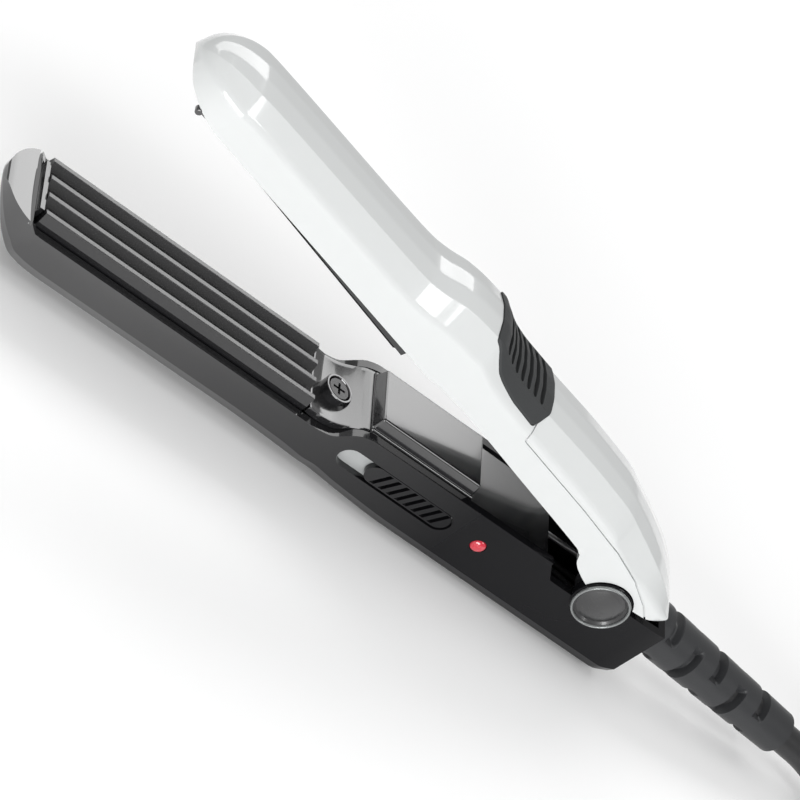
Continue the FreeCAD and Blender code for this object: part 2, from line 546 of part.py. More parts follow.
def build_thumb_grip():
    grip = body_of("ThumbGrip")
    stations = [("GripFront - Gap",) + UPPER_STATIONS[9][1:3] + ("HumpBack - 0.1",)]
    stations += [("HandleFront", "HalfWidth", "UpperHandleRim", "HumpBack - 1.2")]
    stations += [UPPER_STATIONS[11], ("SeamFront + Gap",) + UPPER_STATIONS[12][1:]]
    arm_loft(grip, stations, 1)
    block(grip, ("-2 * GripFront", "-2 * HalfWidth", "-HingeHeight"),
          (MIDDLE, "2 * HalfWidth", "UpperHandleBack - GripDepth + Gap"), cut=True)
    for sign in ("-", ""):
        trim = rectangle(grip, "XY", MIDDLE, ("-2 * GripFront", f"{sign}0.83 * HalfWidth"),
                         (MIDDLE, f"{sign}2 * HalfWidth"))
        pocket(grip, trim, "3 * HingeHeight")
    for i in range(7):
        x = f"-GripFront + 3.4 + {i} * 2.1"
        low = "UpperHandleBack - 0.55 + 0.12 * (GripFront - 3.4 - " + f"{i} * 2.1 - SeamFront)"
        block(grip, (x, "-0.5 * HalfWidth", low), (f"({x}) + 1.0", "0.5 * HalfWidth", "2 * HingeHeight"), cut=True)
    seat(keep("thumb_grip", grip), "upper")


def build_upper_inner_cover():
    """Closes the upper handle from below, deep enough for the raised block to pass under it."""
    cover = body_of("UpperInnerCover")
    top = [("-PlateRear + 1.2", "UpperRim - 1.6"), ("-HandleFront - 4.0", "UpperRim - 1.2"),
           ("-HandleFront - 2.0", "UpperHandleRim + 2.4"), ("-12.5", "UpperHandleRim + 2.4")]
    over = [(x, f"{z} + CoverSheet") for x, z in reversed(top)]
    pad(cover, polygon(cover, "XZ", MIDDLE, top + over), "2 * (HalfWidth - Wall - 1.2)", both=True)
    rod(cover, "XY", "UpperRim - 3", ("-ScrewX - 1.5", MIDDLE), "ScrewShank / 2 + Gap", "8", cut=True)
    rod(cover, "XY", "UpperRim - 3", ("-ScrewX - 1.5", MIDDLE), "ScrewHead / 2 + Gap", "2.3", cut=True)
    seat(keep("upper_inner_cover", cover), "upper")


def build_hinge():
    bracket = body_of("HingeBracket")
    lug = "(ShoulderShare * (HalfWidth - Wall) - 1.5 * Gap)"
    reach = "UpperHandleRim + 2.6"
    for sign in ("-", ""):
        near = polygon(bracket, "XZ", f"{sign}1 * {lug}",
                       [("-LugRadius", MIDDLE), ("-LugRadius - 4.2", reach), ("1.2", reach),
                        ("LugRadius", MIDDLE)])
        pad(bracket, near, "LugSheet", back=sign == "")
        rod(bracket, "XZ", f"{sign}1 * {lug}", (MIDDLE, MIDDLE), "LugRadius", "LugSheet",
            back=sign == "")
    block(bracket, ("-LugRadius - 4.2", f"-{lug}", f"{reach} - 1.4"), ("1.2", lug, reach))
    block(bracket, ("-LugRadius - 4.2", f"-{lug}", "SpringRadius + WireDiameter / 2"),
          ("-LugRadius - 2.2", lug, reach))
    rod(bracket, "XZ", MIDDLE, (MIDDLE, MIDDLE), "PinDiameter / 2 + RunGap + BushWall",
        "4 * HalfWidth", cut=True, both=True)
    seat(keep("hinge_bracket", bracket), "upper")

    def ring_pair(label, arm, outer, inner, start, thick):
        """Two equal rings on the hinge axis, one at each side."""
        rings = []
        for sign in (-1, 1):
            body = body_of("Ring")
            rod(body, "XZ", f"{sign} * {start}", (MIDDLE, MIDDLE), outer, thick, back=sign > 0)
            rod(body, "XZ", MIDDLE, (MIDDLE, MIDDLE), inner, "4 * HalfWidth", cut=True, both=True)
            rings.append(body)
        pair = doc.addObject("Part::Compound", "RingPair")
        pair.Links = rings
        seat(keep(label, pair), arm)

    bore = "PinDiameter / 2 + RunGap"
    ring_pair("hinge_bushes", "upper", f"{bore} + BushWall", bore, lug, "LugSheet")
    spacer = f"(HalfWidth - Wall - 2 * Gap - {lug})"
    ring_pair("hinge_spacers", "lower", "LugRadius - 0.4", "PinDiameter / 2 + RunGap",
              f"({lug} + Gap / 2 + {spacer})", spacer)

    pin = body_of("HingePin")
    rod(pin, "XZ", MIDDLE, (MIDDLE, MIDDLE), "PinDiameter / 2", "2 * (HalfWidth + BossProud - Gap)",
        both=True)
    seat(keep("hinge_pin", pin), "lower")

    for label, sign in (("hinge_cap_near", 1), ("hinge_cap_far", -1)):
        cap = body_of("HingeCap")
        rod(cap, "XZ", f"{sign} * (HalfWidth + BossProud)", (MIDDLE, MIDDLE), "CapRadius", "CapDepth",
            back=sign < 0)
        rod(cap, "XZ", f"{sign} * (HalfWidth + BossProud + CapDepth)", (MIDDLE, MIDDLE), "CapRadius - 1.0",
            "0.5 * CapDepth", cut=True, back=sign > 0)
        seat(keep(label, cap), "lower")


# ---------------------------------------------------------------- switch and electrics
def build_switch():
    bezel = body_of("SwitchBezel")
    middle = ("-SlotX", "-SlotDrop")
    pad(bezel, stadium(bezel, "BezelFace - BezelSheet", middle, "(SlotLength + 2)", "(SlotHeight + 1.6)"), "BezelSheet")
    pocket(bezel, stadium(bezel, "BezelFace + 1", ("-SlotX", "-SlotDrop"),
                          "(NeckWidth + SwitchTravel + 3)", "(NeckWidth - 0.6)"), "3 * BezelSheet", back=True)
    seat(keep("switch_bezel", bezel), "lower")

    knob_middle = "(-SlotX + SlotLength / 2 - 0.3 - KnobLength / 2)"
    knob = body_of("SwitchKnob")
    pad(knob, stadium(knob, "BezelFace + Gap", (knob_middle, "-SlotDrop"), "KnobLength", "(SlotHeight - 0.7)"),
        "KnobFace - BezelFace - Gap")
    count = int(size("KnobGrooves"))
    for i in range(count):
        x = f"({knob_middle} + ({i} - {(count - 1) / 2}) * 1.9)"
        block(knob, (f"{x} - 0.35", "-KnobFace - 1", "-2 * SlotDrop"), (f"{x} + 0.35", "-KnobFace + 0.5", MIDDLE),
              cut=True)
    neck = "(-SlotX + SwitchTravel / 2)"
    block(knob, (f"{neck} - NeckWidth / 2", "-BezelFace - 0.3", "-SlotDrop - 0.6"),
          (f"{neck} + NeckWidth / 2", "-BezelFace + BezelSheet + 1.2", "-SlotDrop + 0.6"))
    seat(keep("switch_knob", knob), "lower")

    back = "(BezelFace - BezelSheet - Gap)"
    switch = body_of("SwitchBody")
    block(switch, ("-SlotX - 8.5", f"-{back}", "-SlotDrop - 3.0"), ("-SlotX + 8.5", "-BoardSheet - Gap", "-SlotDrop + 3.0"))
    block(switch, ("-SlotX - SwitchTravel / 2 - NeckWidth / 2 - 0.3", "-2 * HalfWidth", "-SlotDrop - 0.8"),
          ("-SlotX + SwitchTravel / 2 + NeckWidth / 2 + 0.3", f"-{back} + 1.5", "-SlotDrop + 0.8"), cut=True)
    seat(keep("switch_body", switch), "lower")

    board = body_of("Board")
    block(board, ("-HandleFront + 2", "-BoardSheet", "-LowerSeam + 3.0"),
          ("-CoverScrewX - 3", MIDDLE, "-LowerRim + 1.6"))
    seat(keep("circuit_board", board), "lower")

    lamp = body_of("Lamp")
    centre = ("-LampX", "-LampDrop")
    rod(lamp, "XZ", "BoardSheet + Gap", centre, "LampDiameter / 2", "KnobFace - 0.4 - BoardSheet - Gap")
    ball = lamp.newObject("PartDesign::AdditiveSphere", "Dome")
    ball.setExpression("Radius", bound("LampDiameter / 2"))
    ball.setExpression("AttachmentOffset.Base.x", bound("-LampX"))
    ball.setExpression("AttachmentOffset.Base.y", bound("-KnobFace + 0.4"))
    ball.setExpression("AttachmentOffset.Base.z", bound("-LampDrop"))
    ball.AttachmentSupport = (next(o for o in lamp.Origin.OriginFeatures if o.Role == "XY_Plane"), [""])
    ball.MapMode = "FlatFace"
    seat(keep("indicator_lamp", lamp), "lower")

    fuse = body_of("ThermalFuse")
    rod(fuse, "YZ", "-HandleFront + 6", ("2.6", "-LowerRim - 2.4"), "1.3", "9")
    seat(keep("thermal_fuse", fuse), "lower")

    relay = body_of("Triac")
    block(relay, ("-34", "Gap", "-LowerSeam + 4"), ("-26", "3.2", "-LowerSeam + 9"))
    seat(keep("circuit_triac", relay), "lower")


def smooth_path(points, share=0.45):
    """Straight runs joined by tangent arcs, each as large as its two runs allow."""
    edges, radii = [], []
    start = points[0]
    for i in range(1, len(points) - 1):
        before, corner, after = points[i - 1], points[i], points[i + 1]
        into = (corner - before).normalize()
        out = (after - corner).normalize()
        turn = into.getAngle(out)
        reach = share * min((corner - before).Length, (after - corner).Length)
        radius = reach / math.tan(turn / 2)
        radii.append(radius)
        first, last = corner - into * reach, corner + out * reach
        half = (out - into).normalize()
        crown = corner + half * (radius / math.cos(turn / 2) - radius)
        edges.append(Part.LineSegment(start, first).toShape())
        edges.append(Part.Arc(first, crown, last).toShape())
        start = last
    edges.append(Part.LineSegment(start, points[-1]).toShape())
    return Part.Wire(edges), radii


def tube(points, diameter):
    path, radii = smooth_path(points)
    along = (points[1] - points[0]).normalize()
    ring = Part.Wire(Part.makeCircle(diameter / 2, points[0], along))
    solid = path.makePipeShell([ring], True, False)
    return solid, path.Length, radii


def tube_node(label, arm, runs, diameter):
    shapes = [tube([Vector(*point) for point in points], diameter)[0] for points in runs]
    piece = doc.addObject("Part::Feature", "Tubes")
    piece.Shape = shapes[0] if len(shapes) == 1 else Part.makeCompound(shapes)
    keep(label, piece)
    if arm:
        seat(piece, arm)
    return piece


def build_leads():
    plate_rear = size("PlateRear")
    handle = size("HandleFront")
    back = size("LowerCrest") + size("RidgeHeight") + size("PlateBack")
    depth = back + size("CarrierDepth") - 1.9
    tube_node("lower_heater_leads", "lower",
              [[(-plate_rear - 8.2, y, -depth), (-plate_rear + 3, y, -depth),
                (-handle - 1, y * 0.7 + 2, -depth - 1.0), (-handle + 4, y * 0.3 + 2.2, -depth - 1.6), (-handle + 10, y * 0.3 + 2.2, -depth - 1.6)]
               for y in (-2.4, 2.4)], size("LeadDiameter"))
    up = size("PlateBack") + size("CarrierDepth") - 1.9 - size("LowerCrest") + size("NestGap")
    tube_node("upper_heater_leads", "plate",
              [[(-plate_rear - 8.2, y, up), (-plate_rear + 4, y, up), (-plate_rear + 11, y, up + 5.0),
                (-plate_rear + 20, y * 0.7, up + 6.4), (-16, y * 0.7, up + 6.0)]
               for y in (-2.4, 2.4)], size("LeadDiameter"))
    drop = size("ReliefDrop")
    tube_node("mains_leads", "lower",
              [[(7.6, y, -drop - 0.8), (4, y, -drop - 3.2), (-6, 3.6 + y * 0.6, -drop - 5.0),
                (-16, 4.2 + y * 0.6, -drop - 4.0), (-25, 2.2 + y * 0.6, -drop - 0.6)]
               for y in (-1.5, 1.5)], size("LeadDiameter"))


def build_spring():
    """Torsion spring round the pin, one leg on each arm."""
    wire = size("WireDiameter")
    radius = size("SpringRadius")
    pitch = wire + 0.15
    # half a turn more than whole turns points both legs forward, one below and one above the pin
    turns = size("SpringTurns") + 0.5 - size("OpenAngle") / 360
    width = turns * pitch
    ring = Part.Wire(Part.makeCircle(wire / 2, Vector(radius, 0, 0), Vector(0, 1, 0)))
    coil = Part.Wire(Part.makeHelix(pitch, width, radius).Edges).makePipeShell([ring], True, True)
    end = math.radians(180 - size("OpenAngle"))
    # each leg is a hair thinner than the coil and starts just inside its end face
    thin, into = wire / 2 - 0.03, 0.15
    forward = Vector(-math.sin(end), math.cos(end), 0)
    lower_leg = Part.makeCylinder(thin, size("SpringLeg"), Vector(radius, into, 0), Vector(0, -1, 0))
    upper_leg = Part.makeCylinder(thin, size("SpringLeg"),
                                  Vector(radius * math.cos(end), radius * math.sin(end), width) - forward * into,
                                  forward)
    solid = coil.fuse([lower_leg, upper_leg])
    onto_hinge = Rotation(Vector(0, 0, -1), Vector(1, 0, 0), Vector(0, -1, 0), "ZXY")
    solid.transformShape(Placement(Vector(0, width / 2, 0), onto_hinge).toMatrix(), True)
    spring = doc.addObject("Part::Feature", "Spring")
    spring.Shape = solid
    keep("arm_spring", spring)
    seat(spring, "lower")


# ---------------------------------------------------------------- cord, relief and plug
def build_relief():
    """Flexible sleeve round the cord where it leaves the casing; it droops with the cord."""
    collar = body_of("Relief")
    profile = polygon(collar, "XZ", MIDDLE,
                      [("-Wall - 2.8", "CordDiameter / 2 + Gap / 2"), ("-Wall - 2.8", "ReliefBase / 2"),
                       ("-Wall - 0.8", "ReliefBase / 2"), ("-Wall - 0.8", "ReliefBase / 2 - 1.6"),
                       ("0.6", "ReliefBase / 2 - 1.6"), ("0.6", "ReliefBase / 2"),
                       ("ReliefLength", "ReliefTip / 2"), ("ReliefLength", "CordDiameter / 2 + Gap / 2")])
    turn = collar.newObject("PartDesign::Revolution", "Turn")
    turn.Profile = profile
    turn.ReferenceAxis = (profile, ["H_Axis"])
    turn.Angle = 360
    count = 5
    for i in range(count):
        x = f"5.5 + {i} * 6.6"
        for sign in ("-", ""):
            if i % 2:
                low, high = (x, f"{sign}1.2"), (f"({x}) + 2.6", f"{sign}1 * ReliefBase")
                cutter = rectangle(collar, "XZ", MIDDLE, low, high)
                pocket(collar, cutter, "2.4", both=True)
            else:
                low, high = (x, f"{sign}(CordDiameter / 2 + 0.9)"), (f"({x}) + 2.6", f"{sign}1 * ReliefBase")
                cutter = rectangle(collar, "XY", MIDDLE, low, high)
                pocket(collar, cutter, "5.0", both=True)
    keep("strain_relief", collar)
    collar.Placement = Placement(Vector(14.5, 0, 11.8), Rotation(Vector(0, 1, 0), 6))
    collar.setExpression("Placement.Base.x", bound("RearEnd"))
    collar.setExpression("Placement.Base.z", bound("HingeHeight - ReliefDrop"))
    collar.setExpression("Placement.Rotation.Angle", bound("ReliefDroop"))

    inlet = body_of("CordInlet")
    rod(inlet, "YZ", "-6.0", (MIDDLE, MIDDLE), "CordDiameter / 2", "ReliefLength + 6.0")
    keep("cord_inlet", inlet)
    inlet.Placement = collar.Placement
    inlet.setExpression("Placement.Base.x", bound("RearEnd"))
    inlet.setExpression("Placement.Base.z", bound("HingeHeight - ReliefDrop"))
    inlet.setExpression("Placement.Rotation.Angle", bound("ReliefDroop"))


def build_cord():
    """Free cord: out of the relief, down to the bench, into its tied hank and on to the plug."""
    droop = math.radians(size("ReliefDroop"))
    reach = size("ReliefLength")
    start = Vector(size("RearEnd") + reach * math.cos(droop), 0,
                   size("HingeHeight") - size("ReliefDrop") - reach * math.sin(droop))
    lead = [start, Vector(66.5, 0.0, 6.33), Vector(77.0, -7.0, 4.4), Vector(87.0, -17.0, 3.1),
            Vector(96.0, -19.8, 3.05), Vector(107.0, -18.0, 3.05)]
    tail = [Vector(170.0, -18.0, 21.0), Vector(183.0, -18.0, 21.0), Vector(194.0, -16.5, 18.5),
            Vector(205.0, -8.0, 11.0), Vector(214.0, -3.0, 6.85), Vector(224.0, -3.0, 6.85)]
    diameter = size("CordDiameter")
    for label, points in (("cord_tube", lead), ("cord_tail", tail)):
        solid, length, radii = tube(points, diameter)
        expected = math.pi * diameter ** 2 / 4 * length
        print(label, "length", round(length, 1), "radii", [round(r) for r in radii],
              "volume ratio", round(solid.Volume / expected, 4))
        piece = doc.addObject("Part::Feature", "Cord")
        piece.Shape = solid
        keep(label, piece)

    hank = body_of("Hank")
    centre = ("HankX", MIDDLE)
    outline = stadium(hank, MIDDLE, centre, "(HankReach + 2 * HankOuter)", "(2 * HankOuter)", "XY")
    pad(hank, outline, "HankHeight")
    inside = stadium(hank, "-1", centre, "(HankReach + 2 * HankInner)", "(2 * HankInner)", "XY")
    pocket(hank, inside, "HankHeight + 2")
    keep("cord_hank", hank)

    # strap over the middle of the hank
    tie = body_of("Tie")
    side = "(HankOuter + Gap)"
    block(tie, ("HankX - TieWidth / 2", f"-{side} - TieSheet", MIDDLE),
          ("HankX + TieWidth / 2", f"{side} + TieSheet", "HankHeight + Gap + TieSheet"))
    block(tie, ("HankX - TieWidth", f"-{side}", "-1"), ("HankX + TieWidth", side, "HankHeight + Gap"), cut=True)
    keep("cord_tie", tie)


def build_plug():
    """Two-pin plug in line with the hank, its pins pointing away."""
    plug = body_of("Plug")
    half = "PlugWidth / 2"
    front = "PlugX + PlugLength"
    near_side = [(front, f"PlugY - {half} + 1.2"), (f"{front} - 1.2", f"PlugY - {half}"),
                 (f"{front} - 9", f"PlugY - {half}"), ("PlugX + 7", "PlugY - 7.5"), ("PlugX", "PlugY - 6.2")]
    far_side = [(x, y.replace("-", "+", 1)) for x, y in reversed(near_side[1:])]
    outline = polygon(plug, "XY", MIDDLE, near_side + far_side + [(front, f"PlugY + {half} - 1.2")])
    pad(plug, outline, "PlugThick")
    middle = ("PlugY", "PlugThick / 2")
    rod(plug, "YZ", "PlugX - PlugSleeve", middle, "CordDiameter / 2 + 1.8", "PlugSleeve + 1")
    rod(plug, "YZ", "PlugX - PlugSleeve - 2", middle, "CordDiameter / 2 + Gap / 2", "PlugSleeve + 3", cut=True)
    pins = []
    for sign in ("-", "+"):
        place = (f"PlugY {sign} PlugPinSpacing / 2", "PlugThick / 2")
        rod(plug, "YZ", f"{front} - PinRootLength", place, "PinRoot / 2 + Gap / 2", "PinRootLength + 1", cut=True)
        pin = body_of("PlugPin")
        rod(pin, "YZ", f"{front} - 1", place, "PlugPin / 2", "PlugPinLength + 1")
        rod(pin, "YZ", f"{front} - PinRootLength", place, "PinRoot / 2", "PinRootLength")
        pins.append(pin)
    keep("plug_body", plug)
    pair = doc.addObject("Part::Compound", "PlugPins")
    pair.Links = pins
    keep("plug_pins", pair)

    core = body_of("PlugLeadEnd")
    rod(core, "YZ", "PlugX - PlugSleeve", middle, "CordDiameter / 2", "PlugSleeve + 1")
    keep("plug_cord_end", core)


def build_fasteners():
    build_screw("lower_plate_screw", "lower", "-ScrewX", "-1.0", 1)
    build_screw("upper_plate_screw", "upper", "-ScrewX - 1.5", "UpperRim - 2.2", -1)
    screws = []
    for x in ("-CoverScrewX", "-CoverFront + 3"):
        screw = body_of("CoverScrew")
        rod(screw, "XY", "-HingeHeight + 0.1", (x, MIDDLE), "ScrewHead / 2", "0.8")
        rod(screw, "XY", "-HingeHeight + 0.2", (x, MIDDLE), "ScrewShank / 2", "4.5")
        screws.append(screw)
    group = doc.addObject("Part::Compound", "CoverScrews")
    group.Links = screws
    seat(keep("lower_cover_screws", group), "lower")

    clamp = body_of("CordClamp")
    block(clamp, ("RearEnd - Wall - 7.0", "-4.8", "-ReliefDrop - CordDiameter / 2 - 4.4"),
          ("RearEnd - Wall - 3.6", "4.8", "-ReliefDrop - CordDiameter / 2 - 0.9"))
    seat(keep("cord_clamp", clamp), "lower")


build_lower_shell()
build_lower_rear_cover()
build_lower_inner_cover()
build_plates()
build_plate_stack("lower", "lower", "-LowerCrest - RidgeHeight - PlateBack", -1)
build_plate_stack("upper", "plate", "-LowerCrest + NestGap + PlateBack", 1)
build_upper_shell()
build_upper_rear_cover()
build_thumb_grip()
build_upper_inner_cover()
build_hinge()
build_spring()
build_switch()
build_leads()
build_fasteners()
build_relief()
build_cord()
build_plug()
doc.recompute()

# ---------------------------------------------------------------- checks and files
failed = [f"{item.Name} ({item.Label}): {item.State}" for item in doc.Objects
          if "Invalid" in item.State or "Error" in item.State]
for label, piece in PARTS:
    if piece.Shape.isNull() or not piece.Shape.isValid() or piece.Shape.Volume <= 0:
        failed.append(f"{label}: no valid shape")
if failed:
    raise RuntimeError("failed objects:\n" + "\n".join(failed))

os.makedirs("parts", exist_ok=True)
for label, piece in PARTS:
    piece.Shape.exportStep(f"parts/{label}.step")
print(len(PARTS), "sub-parts written")
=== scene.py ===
import json
import math
import bpy
import bmesh
from mathutils import Matrix, Vector


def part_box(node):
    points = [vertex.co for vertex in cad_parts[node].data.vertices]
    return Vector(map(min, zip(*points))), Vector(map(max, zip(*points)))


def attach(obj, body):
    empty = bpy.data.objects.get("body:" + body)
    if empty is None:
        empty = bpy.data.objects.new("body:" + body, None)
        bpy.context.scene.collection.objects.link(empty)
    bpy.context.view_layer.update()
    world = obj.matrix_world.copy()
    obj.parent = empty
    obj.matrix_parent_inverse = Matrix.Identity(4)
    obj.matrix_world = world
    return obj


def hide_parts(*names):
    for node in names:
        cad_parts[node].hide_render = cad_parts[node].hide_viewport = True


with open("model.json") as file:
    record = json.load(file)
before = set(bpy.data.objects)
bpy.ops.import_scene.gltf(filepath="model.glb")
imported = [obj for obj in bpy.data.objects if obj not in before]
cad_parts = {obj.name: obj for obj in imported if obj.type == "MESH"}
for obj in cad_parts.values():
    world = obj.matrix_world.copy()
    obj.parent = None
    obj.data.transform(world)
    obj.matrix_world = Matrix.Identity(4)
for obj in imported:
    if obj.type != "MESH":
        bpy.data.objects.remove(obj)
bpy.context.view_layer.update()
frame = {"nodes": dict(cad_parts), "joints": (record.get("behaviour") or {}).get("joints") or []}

# Looks of the hair crimper. Everything is measured in millimetres from the hinge axis,
# +X towards the cord, -Y towards the switch, +Z up, in the frame of its own arm.
mm = 0.001
joints = {joint["name"]: joint for joint in frame["joints"]}
hinge = Vector(joints["arm_hinge"]["pos_m"])

arms = {
    "open": 13.9,          # degrees the white arm stands open at rest
    "plateTilt": 1.6,      # the upper plate leans a little more than its arm
    "halfWide": 9.1,
    "wall": 1.6,
    "noseStart": -127.0,
    "noseTip": -135.75,
    "upperTip": -137.1,
    "tailEnd": 10.4,
    "seamGap": 0.24,
}


def armMatrix(degrees):
    turn = Matrix.Rotation(math.radians(degrees), 4, "Y")
    return Matrix.Translation(hinge) @ turn @ Matrix.Scale(mm, 4)


lowerPlace = armMatrix(0)
upperPlace = armMatrix(arms["open"])
platePlace = armMatrix(arms["open"] + arms["plateTilt"])


def nodeSpan(node, axis):
    # lowest and highest place of a CAD node on the lower arm
    low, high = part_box(node)
    return (low[axis] - hinge[axis]) / mm, (high[axis] - hinge[axis]) / mm


halfWide = arms["halfWide"]
wall = arms["wall"]
rearEnd = nodeSpan("lower_shell", 0)[1]
plateFront, plateRear = nodeSpan("lower_plate", 0)


def smooth(knots):
    # curve through (x, value) knots that never overshoots between them
    xs = [knot[0] for knot in knots]
    ys = [knot[1] for knot in knots]
    slopes = [(ys[i + 1] - ys[i]) / (xs[i + 1] - xs[i]) for i in range(len(xs) - 1)]
    tangents = [slopes[0]]
    for before, after in zip(slopes, slopes[1:]):
        tangents.append(0.0 if before * after <= 0 else 2 * before * after / (before + after))
    tangents.append(slopes[-1])

    def value(x):
        if x <= xs[0]:
            return ys[0]
        if x >= xs[-1]:
            return ys[-1]
        i = max(k for k in range(len(xs) - 1) if xs[k] <= x)
        span = xs[i + 1] - xs[i]
        t = (x - xs[i]) / span
        return ((1 + 2 * t) * (1 - t) ** 2 * ys[i] + t * (1 - t) ** 2 * span * tangents[i]
                + t * t * (3 - 2 * t) * ys[i + 1] + t * t * (t - 1) * span * tangents[i + 1])
    return value


def rounded(corners, steps=5, closed=False):
    # outline through (a, b, radius) corners, each turned by an arc of its radius
    points = []
    count = len(corners)
    for i, (a, b, radius) in enumerate(corners):
        here = Vector((a, b))
        if not closed and i in (0, count - 1):
            points.append(here)
            continue
        before = Vector(corners[i - 1][:2]) - here
        after = Vector(corners[(i + 1) % count][:2]) - here
        half = before.angle(after, math.pi) / 2
        reach = min(radius / max(math.tan(half), 1e-6), 0.48 * before.length, 0.48 * after.length)
        start, end = here + before.normalized() * reach, here + after.normalized() * reach
        for k in range(steps + 1):
            t = k / steps
            points.append(start * (1 - t) ** 2 + here * 2 * t * (1 - t) + end * t * t)
    return points


def stations(low, high, step, fine=()):
    # places along the arm, closer together inside each (low, high, step) of fine
    places = set()
    for first, last, close in ((low, high, step), *fine):
        count = max(1, round((last - first) / close))
        places |= {round(first + (last - first) * i / count, 4) for i in range(count + 1)}
    kept = []
    for place in sorted(places):
        if not kept or place - kept[-1] > 0.04:
            kept.append(place)
    return kept


def circlePoints(x, z, radius, count=48):
    turns = [2 * math.pi * i / count for i in range(count)]
    return [(x + radius * math.cos(turn), z + radius * math.sin(turn)) for turn in turns]


def meshPiece(name, vertices, faces, place=None):
    # the two casings, the plates and the cord parts are skinned over their sections,
    # because their drawn-in shapes change all along the arm
    mesh = bpy.data.meshes.new(name)
    mesh.from_pydata([tuple(vertex) for vertex in vertices], [], faces)
    piece = bpy.data.objects.new(name, mesh)
    bpy.context.scene.collection.objects.link(piece)
    work = bmesh.new()
    work.from_mesh(mesh)
    bmesh.ops.remove_doubles(work, verts=work.verts, dist=1e-5)
    bmesh.ops.recalc_face_normals(work, faces=work.faces)
    work.to_mesh(mesh)
    work.free()
    if place is not None:
        mesh.transform(place)
    return piece


def skin(rings):
    # vertices and faces of a closed skin over rings of equally many points
    count = len(rings[0])
    vertices = [point for ring in rings for point in ring]
    faces = [tuple(range(count)), tuple((len(rings) - 1) * count + j for j in reversed(range(count)))]
    for i in range(len(rings) - 1):
        for j in range(count):
            k = (j + 1) % count
            faces.append((i * count + j, i * count + k, (i + 1) * count + k, (i + 1) * count + j))
    return vertices, faces


def extruded(outline, low, high, plane):
    # an xz outline runs along y, an xy outline along z, a yz outline along x
    place = {"xz": lambda p, c: (p[0], c, p[1]), "xy": lambda p, c: (p[0], p[1], c),
             "yz": lambda p, c: (c, p[0], p[1])}[plane]
    return skin([[place(p, low) for p in outline], [place(p, high) for p in outline]])


def prism(outline, low=-20.0, high=20.0):
    return extruded(outline, low, high, "xz")


def pick(piece):
    bpy.ops.object.select_all(action="DESELECT")
    piece.select_set(True)
    bpy.context.view_layer.objects.active = piece


def at(x, y, z):
    # place on the lower arm, in metres
    return hinge + Vector((x, y, z)) * mm


def finishPrimitive(name):
    # the new primitive's place goes into its mesh
    piece = bpy.context.object
    piece.name = name
    piece.data.name = name
    bpy.ops.object.transform_apply(location=True, rotation=True, scale=True)
    return piece


def editFaces(piece, chosen):
    # edit mode with the faces that chosen() says yes to
    pick(piece)
    bpy.ops.object.mode_set(mode="EDIT")
    bpy.ops.mesh.select_mode(type="FACE")
    bpy.ops.mesh.select_all(action="DESELECT")
    work = bmesh.from_edit_mesh(piece.data)
    for face in work.faces:
        face.select_set(chosen(face))
    bmesh.update_edit_mesh(piece.data)


def roundBar(name, x, z, radius, low, high, sides=48, along="Y"):
    # straight round bar on the lower arm between two places along Y or Z
    bpy.ops.object.select_all(action="DESELECT")
    middle = (low + high) / 2
    where = at(x, middle, z) if along == "Y" else at(x, z, middle)
    turn = (math.radians(90), 0, 0) if along == "Y" else (0, 0, 0)
    bpy.ops.mesh.primitive_cylinder_add(vertices=sides, radius=radius * mm, depth=(high - low) * mm,
                                        location=where, rotation=turn)
    return finishPrimitive(name)


def stadiumBar(name, x, z, length, height, low, high):
    # bar with round ends: a block whose four long edges are bevelled away to half its height
    bpy.ops.object.select_all(action="DESELECT")
    bpy.ops.mesh.primitive_cube_add(size=1, location=at(x, (low + high) / 2, z),
                                    scale=(length * mm, (high - low) * mm, height * mm))
    piece = finishPrimitive(name)
    bpy.ops.object.mode_set(mode="EDIT")
    bpy.ops.mesh.select_mode(type="EDGE")
    bpy.ops.mesh.select_all(action="DESELECT")
    work = bmesh.from_edit_mesh(piece.data)
    for edge in work.edges:
        run = edge.verts[0].co - edge.verts[1].co
        edge.select_set(abs(run.y) > 0.9 * run.length)
    bmesh.update_edit_mesh(piece.data)
    bpy.ops.mesh.bevel(offset=height / 2 * mm, segments=6, affect="EDGES", clamp_overlap=True)
    bpy.ops.mesh.select_all(action="SELECT")
    bpy.ops.mesh.remove_doubles(threshold=1e-6)
    bpy.ops.mesh.normals_make_consistent(inside=False)
    bpy.ops.object.mode_set(mode="OBJECT")
    return piece


def turned(name, profile, centre, axis, sides=64, sleeve=False):
    # a circle is drawn out and resized ring by ring, as on a lathe; a sleeve's last ring meets its first
    bpy.ops.object.select_all(action="DESELECT")
    along = {"y": Vector((0, 1, 0)), "z": Vector((0, 0, 1))}[axis]
    middle = at(*centre)
    bpy.ops.mesh.primitive_circle_add(
        vertices=sides, radius=profile[0][0] * mm, fill_type="NOTHING" if sleeve else "NGON",
        location=middle + along * profile[0][1] * mm,
        rotation=(math.radians(90), 0, 0) if axis == "y" else (0, 0, 0))
    piece = finishPrimitive(name)
    bpy.ops.object.mode_set(mode="EDIT")
    bpy.ops.mesh.select_mode(type="EDGE" if sleeve else "FACE")
    bpy.ops.mesh.select_all(action="SELECT")
    for (radius, place), (nextRadius, nextPlace) in zip(profile, profile[1:]):
        step = along * (nextPlace - place) * mm
        bpy.ops.mesh.extrude_region_move(TRANSFORM_OT_translate={"value": tuple(step)})
        grow = nextRadius / radius
        size = (grow, 1, grow) if axis == "y" else (grow, grow, 1)
        bpy.ops.transform.resize(value=size, center_override=tuple(middle + along * nextPlace * mm))
    bpy.ops.mesh.select_all(action="SELECT")
    bpy.ops.mesh.remove_doubles(threshold=1e-6)
    bpy.ops.mesh.normals_make_consistent(inside=False)
    bpy.ops.object.mode_set(mode="OBJECT")
    return piece


